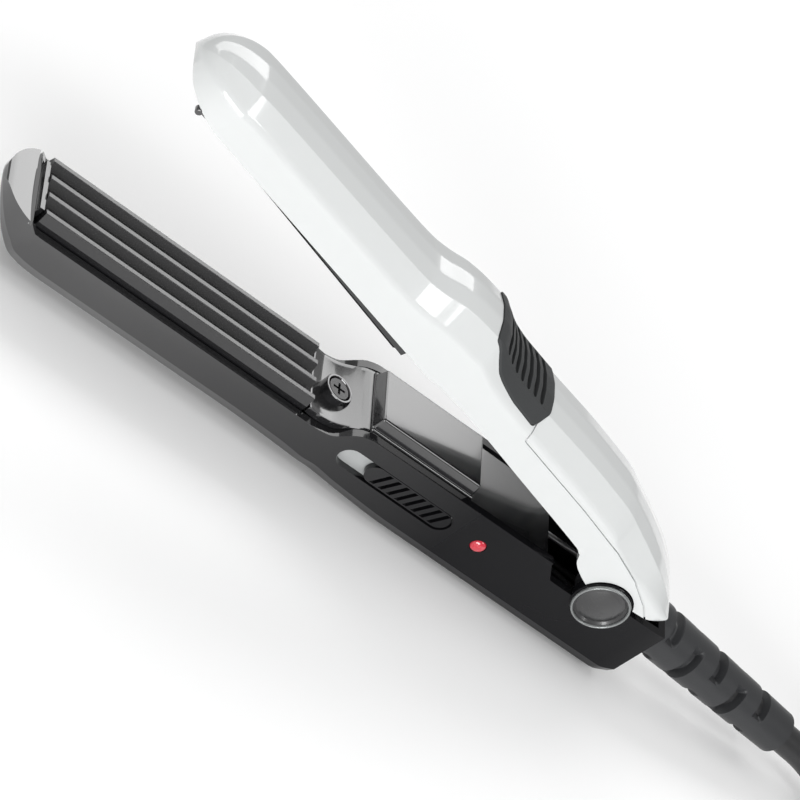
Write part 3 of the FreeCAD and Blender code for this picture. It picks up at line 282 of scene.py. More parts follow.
def applyModifier(piece, modifier):
    pick(piece)
    bpy.ops.object.modifier_apply(modifier=modifier.name)


def combine(piece, tool, operation):
    # boolean with a tool that is thrown away afterwards; slits that it leaves are closed
    change = piece.modifiers.new("cut", "BOOLEAN")
    change.operation = operation
    change.solver = "EXACT"
    change.object = tool
    applyModifier(piece, change)
    bpy.data.objects.remove(tool)
    work = bmesh.new()
    work.from_mesh(piece.data)
    bmesh.ops.remove_doubles(work, verts=work.verts, dist=1e-6)
    bmesh.ops.holes_fill(work, edges=[edge for edge in work.edges if edge.is_boundary], sides=8)
    work.to_mesh(piece.data)
    work.free()


def cut(piece, solid, place, operation="DIFFERENCE"):
    combine(piece, meshPiece("tool", *solid, place), operation)


def bevelled(piece, width, angle=35, segments=2):
    change = piece.modifiers.new("bevel", "BEVEL")
    change.width = width * mm
    change.segments = segments
    change.limit_method = "ANGLE"
    change.angle_limit = math.radians(angle)
    change.harden_normals = False
    change.miter_outer = "MITER_ARC"
    applyModifier(piece, change)


def softened(piece, angle=40):
    # smooth shading, edges above the angle kept sharp and flat faces kept flat
    pick(piece)
    piece.data.shade_smooth()
    piece.data.set_sharp_from_angle(angle=math.radians(angle))
    change = piece.modifiers.new("normals", "WEIGHTED_NORMAL")
    change.keep_sharp = True
    applyModifier(piece, change)
    return piece


def dressed(piece, finish, body, *nodes, slot):
    # finish, body, slot (not used) and the CAD nodes that the piece stands for
    piece.data.materials.clear()
    piece.data.materials.append(finish)
    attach(piece, body)
    if nodes:
        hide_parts(*nodes)


def finishOf(name, colour, roughness, metallic=0.0, coat=0.0, bump=0.0, grain=400.0, mottle=0.0,
             roughSpread=0.04, specular=0.5, fade=None):
    # moulded, coated or metal surface: fine grain in bump and roughness, slow mottle in colour;
    # fade is a painted reflection: the gloss falls off from one end of the arm to the other, so the
    # reflections darken along it
    made = bpy.data.materials.new(name)
    made.use_nodes = True
    nodes, links = made.node_tree.nodes, made.node_tree.links
    shader = nodes["Principled BSDF"]
    shader.inputs["Metallic"].default_value = metallic
    shader.inputs["Specular IOR Level"].default_value = specular
    shader.inputs["Coat Weight"].default_value = coat
    shader.inputs["Coat Roughness"].default_value = 0.03
    where = nodes.new("ShaderNodeTexCoord")
    fine = nodes.new("ShaderNodeTexNoise")
    fine.inputs["Scale"].default_value = grain * 10
    fine.inputs["Detail"].default_value = 3
    slow = nodes.new("ShaderNodeTexNoise")
    slow.inputs["Scale"].default_value = 60
    slow.inputs["Detail"].default_value = 4
    for noise in (fine, slow):
        links.new(where.outputs["Object"], noise.inputs["Vector"])
    tint = nodes.new("ShaderNodeMix")
    tint.data_type = "RGBA"
    tint.inputs["A"].default_value = (*colour, 1)
    tint.inputs["B"].default_value = (*[channel * (1 - mottle) for channel in colour], 1)
    links.new(slow.outputs["Fac"], tint.inputs["Factor"])
    links.new(tint.outputs["Result"], shader.inputs["Base Color"])
    spread = nodes.new("ShaderNodeMapRange")
    spread.inputs["To Min"].default_value = max(0.0, roughness - roughSpread)
    spread.inputs["To Max"].default_value = min(1.0, roughness + roughSpread)
    links.new(fine.outputs["Fac"], spread.inputs["Value"])
    links.new(spread.outputs["Result"], shader.inputs["Roughness"])
    # painted reflection: specular and coat weights ramp along X, so the gloss fades along the arm
    if fade:
        apart = nodes.new("ShaderNodeSeparateXYZ")
        links.new(where.outputs["Object"], apart.inputs["Vector"])
        for socket in ("Specular IOR Level", "Coat Weight"):
            ramp = nodes.new("ShaderNodeMapRange")
            ramp.inputs["From Min"].default_value, ramp.inputs["From Max"].default_value = fade["between"]
            ramp.inputs["To Min"].default_value, ramp.inputs["To Max"].default_value = fade[socket]
            links.new(apart.outputs["X"], ramp.inputs["Value"])
            links.new(ramp.outputs["Result"], shader.inputs[socket])
    if bump:
        relief = nodes.new("ShaderNodeBump")
        relief.inputs["Strength"].default_value = bump
        relief.inputs["Distance"].default_value = 0.00005
        links.new(fine.outputs["Fac"], relief.inputs["Height"])
        links.new(relief.outputs["Normal"], shader.inputs["Normal"])
    return made


# painted reflection: the black casing reflects fully towards the nose and hardly at all towards the handle,
# so the handle's reflections are darker
paintedReflectionFade = {"between": (-0.110, -0.030), "Specular IOR Level": (1.0, 0.12), "Coat Weight": (1.0, 0.03)}
whiteGloss = finishOf("white_gloss", (0.565, 0.578, 0.576), 0.13, coat=0.6, mottle=0.015,
                      roughSpread=0.02)
blackGloss = finishOf("black_gloss", (0.007, 0.007, 0.008), 0.08, mottle=0.2, roughSpread=0.02,
                      fade=paintedReflectionFade)
innerGloss = finishOf("inner_gloss", (0.012, 0.012, 0.013), 0.15, coat=0.5, mottle=0.2, roughSpread=0.02,
                      specular=1.0)
capGloss = finishOf("cap_gloss", (0.014, 0.014, 0.015), 0.28, coat=0.3, mottle=0.2, roughSpread=0.02,
                    specular=0.8)
plateCeramic = finishOf("plate_ceramic", (0.009, 0.009, 0.010), 0.22, specular=0.7, coat=0.35, mottle=0.35,
                        bump=0.5, grain=260, roughSpread=0.08)
gripRubber = finishOf("grip_rubber", (0.034, 0.036, 0.037), 0.60, specular=0.35, bump=0.6, grain=300,
                      mottle=0.15, roughSpread=0.08)
reliefRubber = finishOf("relief_rubber", (0.030, 0.031, 0.033), 0.40, specular=0.35, bump=0.4, grain=240,
                        mottle=0.2)
cordJacket = finishOf("cord_jacket", (0.016, 0.016, 0.017), 0.36, bump=0.5, grain=200, mottle=0.2)
tieStrap = finishOf("tie_strap", (0.020, 0.020, 0.022), 0.85, bump=1.0, grain=500, mottle=0.35)
hingeTrim = finishOf("hinge_trim", (0.26, 0.27, 0.27), 0.25, metallic=0.6, mottle=0.1)
recessGrey = finishOf("recess_grey", (0.36, 0.37, 0.37), 0.30, coat=0.2, mottle=0.08)
lampLens = finishOf("lamp_lens", (0.62, 0.010, 0.035), 0.08, coat=0.8, mottle=0.35, specular=0.7)
zincSteel = finishOf("zinc_steel", (0.55, 0.55, 0.56), 0.30, metallic=1.0, mottle=0.12, bump=0.1)
blackScrew = finishOf("black_screw", (0.020, 0.020, 0.021), 0.25, mottle=0.2, bump=0.1)
nickelPins = finishOf("nickel_pins", (0.72, 0.70, 0.66), 0.18, metallic=1.0, mottle=0.08)
carrierPlastic = finishOf("carrier_plastic", (0.028, 0.028, 0.030), 0.58, bump=0.5, grain=300, mottle=0.15)
plugPlastic = finishOf("plug_plastic", (0.018, 0.018, 0.019), 0.42, bump=0.5, grain=260, mottle=0.15)
heaterAlumina = finishOf("heater_alumina", (0.80, 0.78, 0.72), 0.55, bump=0.4, grain=300, mottle=0.1)
leadSleeve = finishOf("lead_sleeve", (0.74, 0.72, 0.66), 0.75, bump=1.0, grain=420, mottle=0.15)
mainsSleeve = finishOf("mains_sleeve", (0.015, 0.015, 0.016), 0.45, mottle=0.1)
circuitGreen = finishOf("circuit_green", (0.02, 0.16, 0.06), 0.35, coat=0.3, mottle=0.3)
acetalBush = finishOf("acetal_bush", (0.76, 0.75, 0.70), 0.38, mottle=0.05)
print("finishes ready")


def armHalfWidth(x, rear, rearHalf, tip, power):
    # straight sides, a drawn-in nose and a slightly drawn-in rear end
    if x < arms["noseStart"]:
        t = min(1.0, (arms["noseStart"] - x) / (arms["noseStart"] - tip))
        return halfWide * max(0.004, (1 - t ** power)) ** 0.54
    if x > rear - 4:
        t = (x - rear + 4) / 4
        return halfWide + (rearHalf - halfWide) * t * t
    return halfWide


# side view of both arms: the rim where they part and the back that the hand holds
noseTip, upperTip, tailEnd = arms["noseTip"], arms["upperTip"], arms["tailEnd"]
lowerRim = smooth([
    (noseTip, -3.7), (-135.3, -2.8), (-134.6, -2.5), (-129.4, -2.4), (-128.3, -3.6), (-127.5, -3.75),
    (-66.0, -3.75), (-62.5, -3.3), (-58.2, 0.5), (-55.5, 1.15), (-50.0, 1.2), (rearEnd, 1.7)])
lowerBack = smooth([
    (noseTip, -4.1), (-135.1, -5.2), (-133.5, -7.2), (-131.2, -9.5), (-128.2, -11.7), (-125.0, -12.8),
    (-121.0, -13.2), (-80.0, -13.2), (-66.0, -13.7), (-50.0, -15.3), (-40.0, -15.95), (11.5, -16.0),
    (rearEnd, -14.6)])
upperRim = smooth([
    (upperTip, 6.7), (-136.4, 5.2), (-134.0, 4.2), (-128.4, 3.7), (-64.0, 3.75), (-60.0, 4.4), (-53.0, 4.7),
    (-33.0, 4.3), (-15.0, 3.9), (-13.2, 3.5), (-11.6, 2.0), (-9.8, 1.2), (-6.0, 0.4), (-4.0, 0.2),
    (2.0, 3.0), (4.6, 4.0), (7.3, 4.9), (9.0, 6.0), (tailEnd, 7.2)])
upperBack = smooth([
    (upperTip, 7.3), (-136.7, 8.6), (-135.6, 10.3), (-133.4, 11.8), (-130.0, 13.0), (-126.0, 13.6),
    (-120.0, 13.8), (-86.0, 14.4), (-79.5, 14.7), (-75.5, 15.5), (-71.0, 17.0), (-66.2, 17.7),
    (-61.5, 17.9), (-58.5, 17.0), (-54.5, 15.8), (-50.0, 15.4), (-44.0, 15.4), (-28.0, 15.8),
    (-17.5, 15.6), (-8.2, 14.2), (0.0, 12.2), (6.0, 10.1), (9.2, 8.6), (tailEnd, 7.9)])
creaseShare = smooth([(-140.0, 0.333), (-68.0, 0.333), (-54.0, 0.227), (20.0, 0.227)])


def lowerSection(x, inset=0.0):
    # half-round trough: side wall, crease, bevel and flat underside
    wide = armHalfWidth(x, rearEnd, halfWide - 0.3, noseTip, 2.1) - inset
    rim, back = lowerRim(x), lowerBack(x) + inset
    depth = rim - back
    half = [(-wide, rim, 0), (-0.978 * wide, back + creaseShare(x) * depth, 0.35),
            (-0.87 * wide, back + 0.11 * depth, 0.7), (-0.62 * wide, back, 1.2)]
    return half + [(-a, b, r) for a, b, r in reversed(half)]


def upperSection(x, inset=0.0):
    # side wall, soft shoulder, sharp crease and gently crowned back
    wide = armHalfWidth(x, tailEnd, halfWide - 1.2, upperTip, 1.6) - inset
    rim, back = upperRim(x), upperBack(x) - inset
    depth = back - rim
    half = [(-wide, rim, 0), (-0.985 * wide, rim + 0.62 * depth, 2.6),
            (-0.60 * wide, back - 0.06 * depth, 0.45), (-0.20 * wide, back, 6.0)]
    return half + [(-a, b, r) for a, b, r in reversed(half)]


def loft(section, places, inset=0.0, raised=0.0):
    # closed solid over an arm's sections; raised lifts its open side past the rim
    rings = []
    for x in places:
        outline = rounded(section(x, inset))
        ring = [(x, y, z) for y, z in outline]
        if raised:
            first, last = outline[0], outline[-1]
            ring = [(x, first[0], first[1] + raised)] + ring + [(x, last[0], last[1] + raised)]
        rings.append(ring)
    return skin(rings)


def nosePlaces(tip):
    # sections crowd together towards the tip, where the outline turns fastest
    return [tip + (arms["noseStart"] - tip) * (i / 16) ** 1.7 for i in range(16)]


lowerPlaces = nosePlaces(noseTip) + stations(arms["noseStart"], rearEnd, 2.0,
                                             fine=((-68, -48, 0.7), (11, rearEnd, 0.5)))
upperPlaces = nosePlaces(upperTip) + stations(arms["noseStart"], tailEnd, 2.0,
                                              fine=((-82, -50, 0.8), (-16, tailEnd, 0.6)))

casingSpec = {
    "coverFront": -53.0,       # where the rear cover starts
    "coverSeam": -14.0,        # height of its seam
    "bench": -20.0,            # anything below the underside
    "slotLength": 26.0,
    "slotHeight": 4.9,
    "slotX": sum(nodeSpan("switch_bezel", 0)) / 2,
    "slotZ": sum(nodeSpan("switch_bezel", 2)) / 2,
    "lampX": sum(nodeSpan("indicator_lamp", 0)) / 2,
    "lampZ": sum(nodeSpan("indicator_lamp", 2)) / 2,
    "lampHole": 1.55,
    "reliefDrop": -4.2,
    "reliefHole": 5.3,
    "coverScrews": (-14.5, -50.0),
    "screwHole": 2.3,
}
coverFront, coverSeam, bench = casingSpec["coverFront"], casingSpec["coverSeam"], casingSpec["bench"]
slotX, slotZ = casingSpec["slotX"], casingSpec["slotZ"]
behind = rearEnd + 2

casing = meshPiece("lower_casing", *loft(lowerSection, lowerPlaces), lowerPlace)
hollowPlaces = stations(plateFront - 0.9, rearEnd - wall, 2.0, fine=((-68, -48, 0.7),))
cut(casing, loft(lowerSection, hollowPlaces, wall, 12), lowerPlace)
belowSeam = [(coverFront, coverSeam), (coverFront, bench), (behind, bench), (behind, coverSeam)]
cut(casing, prism(belowSeam), lowerPlace)
dip = rounded([(-14.0, 6, 0), (-13.2, 1.0, 0.6), (-10.6, -2.1, 0.8), (5.6, -2.1, 0.8), (5.6, 6, 0)])
cut(casing, prism(dip), lowerPlace)
slotTool = stadiumBar("tool", slotX, slotZ, casingSpec["slotLength"], casingSpec["slotHeight"], -12, 0)
combine(casing, slotTool, "DIFFERENCE")
lampTool = roundBar("tool", casingSpec["lampX"], casingSpec["lampZ"], casingSpec["lampHole"], -12, 0, 32)
combine(casing, lampTool, "DIFFERENCE")
reliefHole = circlePoints(0, casingSpec["reliefDrop"], casingSpec["reliefHole"], 40)
cut(casing, extruded(reliefHole, rearEnd - 3, rearEnd + 3, "yz"), lowerPlace)
groove = [(-129.45, halfWide), (-129.45, -halfWide)]
for k in range(15):
    y = -halfWide + 2 * halfWide * k / 14
    groove.append((-130.0 - 0.55 * (1 - (y / halfWide) ** 2), y))
cut(casing, extruded(groove, -3.1, 0, "xy"), lowerPlace)
bevelled(casing, 0.2, segments=1)
dressed(softened(casing), blackGloss, "lower_arm", "lower_shell", slot="black_casing")

cover = meshPiece("rear_cover_skin", *loft(lowerSection, [x for x in lowerPlaces if x > -56]), lowerPlace)
front, seam = coverFront + arms["seamGap"], coverSeam - arms["seamGap"]
aboveSeam = [(-60, 5), (-60, bench), (front, bench), (front, seam), (behind, seam), (behind, 5)]
cut(cover, prism(aboveSeam), lowerPlace)
for x in casingSpec["coverScrews"]:
    combine(cover, roundBar("tool", x, 0, casingSpec["screwHole"], -17, -15.2, 32, "Z"), "DIFFERENCE")
bevelled(cover, 0.16)
dressed(softened(cover), blackGloss, "lower_arm", "lower_rear_cover", slot="black_casing")
print("lower casing and rear cover done")

hingeSpec = {
    "boss": 5.7,           # radius of the round boss on both sides
    "recess": 5.0,
    "ring": 5.15,          # middle of the bright ring
    "ringAcross": 0.26,
    "ringProud": 0.42,
    "dome": 4.1,
}
inner = halfWide - wall + 0.1
bossProfile = [(hingeSpec["boss"] - 0.1, inner), (hingeSpec["boss"] - 0.1, halfWide + 0.15),
               (hingeSpec["boss"] - 0.25, halfWide + 0.3), (hingeSpec["recess"], halfWide + 0.3),
               (hingeSpec["recess"], halfWide + 0.1), (0.01, halfWide + 0.1)]
domeProfile = [(4.95, 0.1), (4.95, 0.55), (4.7, 0.62), (4.3, 0.25), (hingeSpec["dome"], 0.28)]
domeProfile += [(hingeSpec["dome"] - 0.41 * k, 0.30 + 0.72 * (1 - (1 - k / 10) ** 2)) for k in range(1, 10)]
domeProfile += [(0.01, 1.02)]
for side, label in ((-1, "near"), (1, "far")):
    boss = turned(f"hinge_boss_{label}", [(r, side * y) for r, y in bossProfile], (0, 0, 0), "y")
    dressed(softened(boss), blackGloss, "lower_arm", slot="black_casing")
    bpy.ops.object.select_all(action="DESELECT")
    ringPlace = at(0, side * (halfWide + 0.62), 0)
    bpy.ops.mesh.primitive_torus_add(
        major_radius=hingeSpec["ring"] * mm, minor_radius=hingeSpec["ringAcross"] * mm, major_segments=72,
        minor_segments=12, location=ringPlace, rotation=(math.radians(90), 0, 0))
    ring = finishPrimitive(f"hinge_ring_{label}")
    editFaces(ring, lambda face: True)
    stretch = hingeSpec["ringProud"] / hingeSpec["ringAcross"]
    bpy.ops.transform.resize(value=(1, stretch, 1), center_override=tuple(ringPlace))
    bpy.ops.object.mode_set(mode="OBJECT")
    dressed(softened(ring, 180), hingeTrim, "lower_arm", slot="hinge_trim")
    domeLine = [(r, side * (halfWide + y)) for r, y in domeProfile]
    dome = turned(f"hinge_dome_{label}", domeLine, (0, 0, 0), "y", 72)
    dressed(softened(dome, 50), capGloss, "lower_arm", f"hinge_cap_{label}", slot="black_casing")
print("hinge caps done")

plateSpec = {"pitch": 4.15, "crest": -0.6, "depth": 1.75, "half": 7.2, "back": -3.9, "shoulder": 2.0,
             "crestFlat": 0.48, "valleyFlat": 0.35, "endGap": 0.05, "nest": 0.25, "upperBack": 1.6}
pitch, crest, plateHalf = plateSpec["pitch"], plateSpec["crest"], plateSpec["half"]
crestFlat, valleyFlat = plateSpec["crestFlat"], plateSpec["valleyFlat"]
valley = crest - plateSpec["depth"]
plateEnds = plateFront + plateSpec["endGap"], plateRear - plateSpec["endGap"]

# four ridges below, and three above that nest between them
ridges = [(-plateHalf, plateSpec["back"], 0), (-plateHalf, crest - plateSpec["shoulder"], 0.15)]
for i in range(4):
    y = (i - 1.5) * pitch
    ridges += [(y - crestFlat, crest, 0.16), (y + crestFlat, crest, 0.16)]
    if i < 3:
        ridges += [(y + pitch / 2 - valleyFlat, valley, 0.2), (y + pitch / 2 + valleyFlat, valley, 0.2)]
ridges += [(plateHalf, crest - plateSpec["shoulder"], 0.15), (plateHalf, plateSpec["back"], 0)]
lowerPlate = meshPiece("lower_crimp_plate", *extruded(rounded(ridges, 3), *plateEnds, "yz"), lowerPlace)
dressed(softened(lowerPlate, 25), plateCeramic, "lower_arm", "lower_plate", slot="plate_coating")

upperCrest = crest + plateSpec["nest"]
upperBackFace = upperCrest + plateSpec["upperBack"]
ridges = [(-plateHalf, upperBackFace, 0), (-plateHalf, upperCrest, 0.12)]
for i in range(3):
    y = (i - 1) * pitch
    tip = upperCrest - plateSpec["depth"]
    ridges += [(y - pitch / 2 + crestFlat, upperCrest, 0.16), (y - valleyFlat, tip, 0.2),
               (y + valleyFlat, tip, 0.2), (y + pitch / 2 - crestFlat, upperCrest, 0.16)]
ridges += [(plateHalf, upperCrest, 0.12), (plateHalf, upperBackFace, 0)]
upperPlate = meshPiece("upper_crimp_plate", *extruded(rounded(ridges, 3), *plateEnds, "yz"), platePlace)
dressed(softened(upperPlate, 25), plateCeramic, "upper_arm", "upper_plate", slot="plate_coating")
print("crimp plates done")

saddleSpec = {"half": 7.35, "deck": 0.9, "thick": 1.5, "dish": 0.35, "rear": -14.2, "screwX": -63.0,
              "screwHole": 2.3}
saddleHalf = saddleSpec["half"]
saddleFront = plateRear + 0.3
saddleTop = smooth([(saddleFront, -2.0), (-65.5, -2.3), (-63.0, -2.1), (-60.5, -1.0), (-58.0, 0.5),
                    (-56.4, saddleSpec["deck"]), (-14.0, saddleSpec["deck"])])
rings = []
for x in stations(saddleFront, saddleSpec["rear"], 2.5, fine=((saddleFront, -55, 0.6),)):
    top = saddleTop(x)
    dish = saddleSpec["dish"] if x < -58 else 0.0
    across = [-saddleHalf + 2 * saddleHalf * k / 20 for k in range(21)]
    ring = [(x, y, top - dish * (1 - (y / saddleHalf) ** 2)) for y in across]
    foot = top - saddleSpec["thick"]
    rings.append(ring + [(x, saddleHalf, foot), (x, -saddleHalf, foot)])
saddle = meshPiece("saddle_cover", *skin(rings), lowerPlace)
screwTool = roundBar("tool", saddleSpec["screwX"], 0, saddleSpec["screwHole"], -6, 0, 40, "Z")
combine(saddle, screwTool, "DIFFERENCE")
bevelled(saddle, 0.15)
dressed(softened(saddle, 35), innerGloss, "lower_arm", "lower_inner_cover", slot="inner_cover")

cupProfile = [(2.2, -5.0), (2.95, -5.0), (2.95, -1.05), (2.8, -0.85), (2.5, -0.85), (2.35, -1.1), (2.2, -1.8),
              (2.2, -5.0)]
cup = turned("screw_cup", cupProfile, (saddleSpec["screwX"], 0, 0), "z", 48, sleeve=True)
dressed(softened(cup, 40), innerGloss, "lower_arm", slot="inner_cover")

blockSpec = {"front": -57.0, "length": 24.0, "half": 6.6, "low": 0.5, "top": 3.9, "drawFront": 0.5,
             "drawRear": 0.4, "drawSide": 0.6, "stepLow": 0.3, "stepTop": 1.5, "stepWide": 0.35,
             "stepRear": 0.2}


def blockBetween(name, front, rear, half, low, high):
    bpy.ops.object.select_all(action="DESELECT")
    bpy.ops.mesh.primitive_cube_add(size=1, location=at((front + rear) / 2, 0, (low + high) / 2),
                                    scale=((rear - front) * mm, 2 * half * mm, (high - low) * mm))
    return finishPrimitive(name)


blockRear = blockSpec["front"] + blockSpec["length"]
block = blockBetween("raised_block", blockSpec["front"], blockRear, blockSpec["half"], blockSpec["low"],
                     blockSpec["top"])
editFaces(block, lambda face: face.normal.z > 0.9)
topLength = blockSpec["length"] - blockSpec["drawFront"] - blockSpec["drawRear"]
drawIn = (topLength / blockSpec["length"], 1 - blockSpec["drawSide"] / blockSpec["half"], 1)
blockMiddle = tuple(at((blockSpec["front"] + blockRear) / 2, 0, 0))
bpy.ops.transform.resize(value=drawIn, center_override=blockMiddle)
slide = (blockSpec["drawFront"] - blockSpec["drawRear"]) / 2
bpy.ops.transform.translate(value=(slide * mm, 0, 0))
bpy.ops.object.mode_set(mode="OBJECT")
step = blockBetween("block_step", blockSpec["front"], blockRear + blockSpec["stepRear"],
                    blockSpec["half"] + blockSpec["stepWide"], blockSpec["stepLow"], blockSpec["stepTop"])
pick(block)
step.select_set(True)
bpy.ops.object.join()
bevelled(block, 0.42, 30, 3)
dressed(softened(block, 30), innerGloss, "lower_arm", slot="inner_cover")
print("saddle, screw cup and raised block done")

switchSpec = {"trayLength": 27.4, "trayHeight": 6.3, "trayOut": -7.45, "trayIn": -6.9, "knobHeight": 4.2,
              "knobOut": -8.75, "knobIn": -7.55, "grooves": 8, "grooveStep": 1.95, "grooveShift": 0.7}
tray = stadiumBar("switch_tray", slotX, slotZ, switchSpec["trayLength"], switchSpec["trayHeight"],
                  switchSpec["trayOut"], switchSpec["trayIn"])
dressed(softened(tray, 40), recessGrey, "lower_arm", "switch_bezel", slot="bezel_plastic")
knobLow, knobHigh = nodeSpan("switch_knob", 0)
knobX = (knobLow + knobHigh) / 2
knob = stadiumBar("knob_grip", knobX, slotZ, knobHigh - knobLow, switchSpec["knobHeight"],
                  switchSpec["knobOut"], switchSpec["knobIn"])
for i in range(switchSpec["grooves"]):
    x = knobX + switchSpec["grooveShift"] + (i - (switchSpec["grooves"] - 1) / 2) * switchSpec["grooveStep"]
    slash = [(x - 1.3, slotZ - 1.8), (x - 0.4, slotZ - 1.8), (x + 1.2, slotZ + 1.8), (x + 0.3, slotZ + 1.8)]
    cut(knob, prism(slash, switchSpec["knobOut"] - 1, switchSpec["knobOut"] + 0.8), lowerPlace)
bevelled(knob, 0.14)
dressed(softened(knob, 35), blackGloss, "switch_slider", "switch_knob", slot="switch_plastic")

lampSpec = {"radius": 1.5, "foot": -7.8, "rim": -8.7, "bulge": 0.85}
lensProfile = [(lampSpec["radius"], lampSpec["foot"])]
for k in range(10):
    turn = math.pi / 2 * k / 10
    lensProfile.append((lampSpec["radius"] * math.cos(turn),
                        lampSpec["rim"] - lampSpec["bulge"] * math.sin(turn)))
lensProfile.append((0.01, lampSpec["rim"] - lampSpec["bulge"]))
lens = turned("lamp_dome", lensProfile, (casingSpec["lampX"], 0, casingSpec["lampZ"]), "y", 48)
dressed(softened(lens, 60), lampLens, "lower_arm", "indicator_lamp", slot="lamp_lens")
print("switch and lamp done")

upperSpec = {
    "seamFront": -42.5,
    "gripFloor": 11.6,
    "gripGap": 0.12,
    "bossGap": 0.15,
    "linerGap": 0.3,
    "linerInset": 0.35,
}
seamFront = upperSpec["seamFront"]
seamLine = [(seamFront - 1.4, 14.2), (seamFront, 10.2), (seamFront + 0.6, 9.8), (-22.0, 9.7), (-10.0, 9.2),
            (-2.0, 8.0), (4.0, 6.2), (9.0, 3.6), (14.0, 0.5)]
hollowPlaces = stations(plateFront - 1.0, 3.0, 2.0, fine=((-82, -50, 0.8), (-16, 3.0, 0.6)))
upperHollow = loft(upperSection, hollowPlaces, wall, -12)
gripEdge = [(-62.6, -5.6, 0.8), (-60.6, -6.1, 3), (-57.0, -7.2, 4), (-50.0, -7.75, 6), (-43.6, -7.9, 1.2),
            (-42.3, -5.0, 3)]
gripPlan = rounded(gripEdge + [(x, -y, r) for x, y, r in reversed(gripEdge)], 4, closed=True)


def grown(outline, extra):
    # outline a little larger all round, measured from its middle
    middle = sum(p[0] for p in outline) / len(outline)
    reachX = max(abs(p[0] - middle) for p in outline)
    reachY = max(abs(p[1]) for p in outline)
    return [(middle + (p[0] - middle) * (1 + extra / reachX), p[1] * (1 + extra / reachY)) for p in outline]


gripPocket = extruded(grown(gripPlan, upperSpec["gripGap"]), upperSpec["gripFloor"], 25, "xy")
white = meshPiece("upper_casing", *loft(upperSection, upperPlaces), upperPlace)
cut(white, upperHollow, upperPlace)
cut(white, prism(seamLine + [(14.0, 25), (seamFront - 1.4, 25)]), upperPlace)
cut(white, gripPocket, upperPlace)
cut(white, prism(circlePoints(0, 0, hingeSpec["boss"] + upperSpec["bossGap"], 64)), upperPlace)
bevelled(white, 0.2)
dressed(softened(white, 38), whiteGloss, "upper_arm", "upper_shell", slot="white_casing")

rearPlaces = [x for x in upperPlaces if x > -48]
backCover = meshPiece("upper_cover_skin", *loft(upperSection, rearPlaces), upperPlace)
cut(backCover, upperHollow, upperPlace)
underSeam = [(x + arms["seamGap"], z + arms["seamGap"]) for x, z in seamLine]
underSeam += [(14.0, -8), (-60, -8), (-60, 25), (seamFront - 1.3, 25)]
cut(backCover, prism(underSeam), upperPlace)
cut(backCover, gripPocket, upperPlace)
bevelled(backCover, 0.16)
dressed(softened(backCover, 38), whiteGloss, "upper_arm", "upper_rear_cover", slot="white_casing")

# thin liner that shows white through the seam
linerSolid = loft(upperSection, stations(-60, 7.0, 2.0), upperSpec["linerInset"])
liner = meshPiece("upper_liner", *linerSolid, upperPlace)
cut(liner, upperHollow, upperPlace)
cut(liner, prism(circlePoints(0, 0, hingeSpec["boss"] + upperSpec["linerGap"], 64)), upperPlace)
cut(liner, gripPocket, upperPlace)
dressed(softened(liner, 38), whiteGloss, "upper_arm", slot="white_casing")
print("white arm done")

gripSpec = {"proud": 0.25, "floor": 11.7, "ribs": 7, "firstRib": -58.4, "ribStep": 2.15, "slotDeep": 0.75,
            "slotHalf": 4.9, "slotRound": 0.58}
grip = meshPiece("thumb_pad", *loft(upperSection, stations(-66, -40, 0.8), -gripSpec["proud"]), upperPlace)
cut(grip, extruded(gripPlan, gripSpec["floor"], 25, "xy"), upperPlace, "INTERSECT")
for i in range(gripSpec["ribs"]):
    x = gripSpec["firstRib"] + i * gripSpec["ribStep"]
    outline = []
    for k in range(16):
        turn = 2 * math.pi * (k + 0.5) / 16
        end = math.copysign(gripSpec["slotHalf"], math.sin(turn))
        outline.append((x + gripSpec["slotRound"] * math.cos(turn),
                        end + gripSpec["slotRound"] * math.sin(turn)))
    cut(grip, extruded(outline, upperBack(x) - gripSpec["slotDeep"], 25, "xy"), upperPlace)
bevelled(grip, 0.3, 40, 3)
dressed(softened(grip, 45), gripRubber, "upper_arm", "thumb_grip", slot="grip_rubber")

hookSpec = {"x": -131.2, "z": 3.3, "radius": 0.72, "low": -7.9, "high": -6.5}
hookRound = circlePoints(hookSpec["x"], hookSpec["z"], hookSpec["radius"], 24)
hook = meshPiece("plate_hook", *extruded(hookRound, hookSpec["low"], hookSpec["high"], "xz"), upperPlace)
bevelled(hook, 0.3, segments=3)
dressed(softened(hook, 50), blackGloss, "upper_arm", slot="carrier_plastic")
print("thumb grip and hook done")

reliefSpec = {"droop": 6.0, "length": 40.0, "rootRadius": 5.3, "endRadius": 4.3, "pitch": 6.6, "first": 5.0,
              "slots": 5, "slotHalf": 1.25, "slotDeep": 1.7, "slotEdge": 0.35, "neck": 3.7, "neckLength": 1.6,
              "rings": 172, "sides": 96}
droop = math.radians(reliefSpec["droop"])
reliefStart = Vector((rearEnd, 0, casingSpec["reliefDrop"]))
reliefTurn = Matrix.Rotation(droop, 4, "Y")
reliefPlace = Matrix.Translation(hinge + reliefStart * mm) @ reliefTurn @ Matrix.Scale(mm, 4)


def reliefRadius(along, angle):
    # tapered sleeve whose slots alternate between the sides and the top
    if along < 0.0:
        return reliefSpec["neck"]
    taper = reliefSpec["endRadius"] - reliefSpec["rootRadius"]
    radius = reliefSpec["rootRadius"] + taper * along / reliefSpec["length"]
    k = (along - reliefSpec["first"]) / reliefSpec["pitch"]
    i = math.floor(k + 0.5)
    off = abs(k - i) * reliefSpec["pitch"]
    if 0 <= i < reliefSpec["slots"] and off < reliefSpec["slotHalf"]:
        around = abs(math.sin(angle if i % 2 == 0 else angle - math.pi / 2))
        edge = min(1.0, (reliefSpec["slotHalf"] - off) / reliefSpec["slotEdge"])
        radius -= reliefSpec["slotDeep"] * edge * min(1.0, max(0.0, (around - 0.45) / 0.14))
    return radius


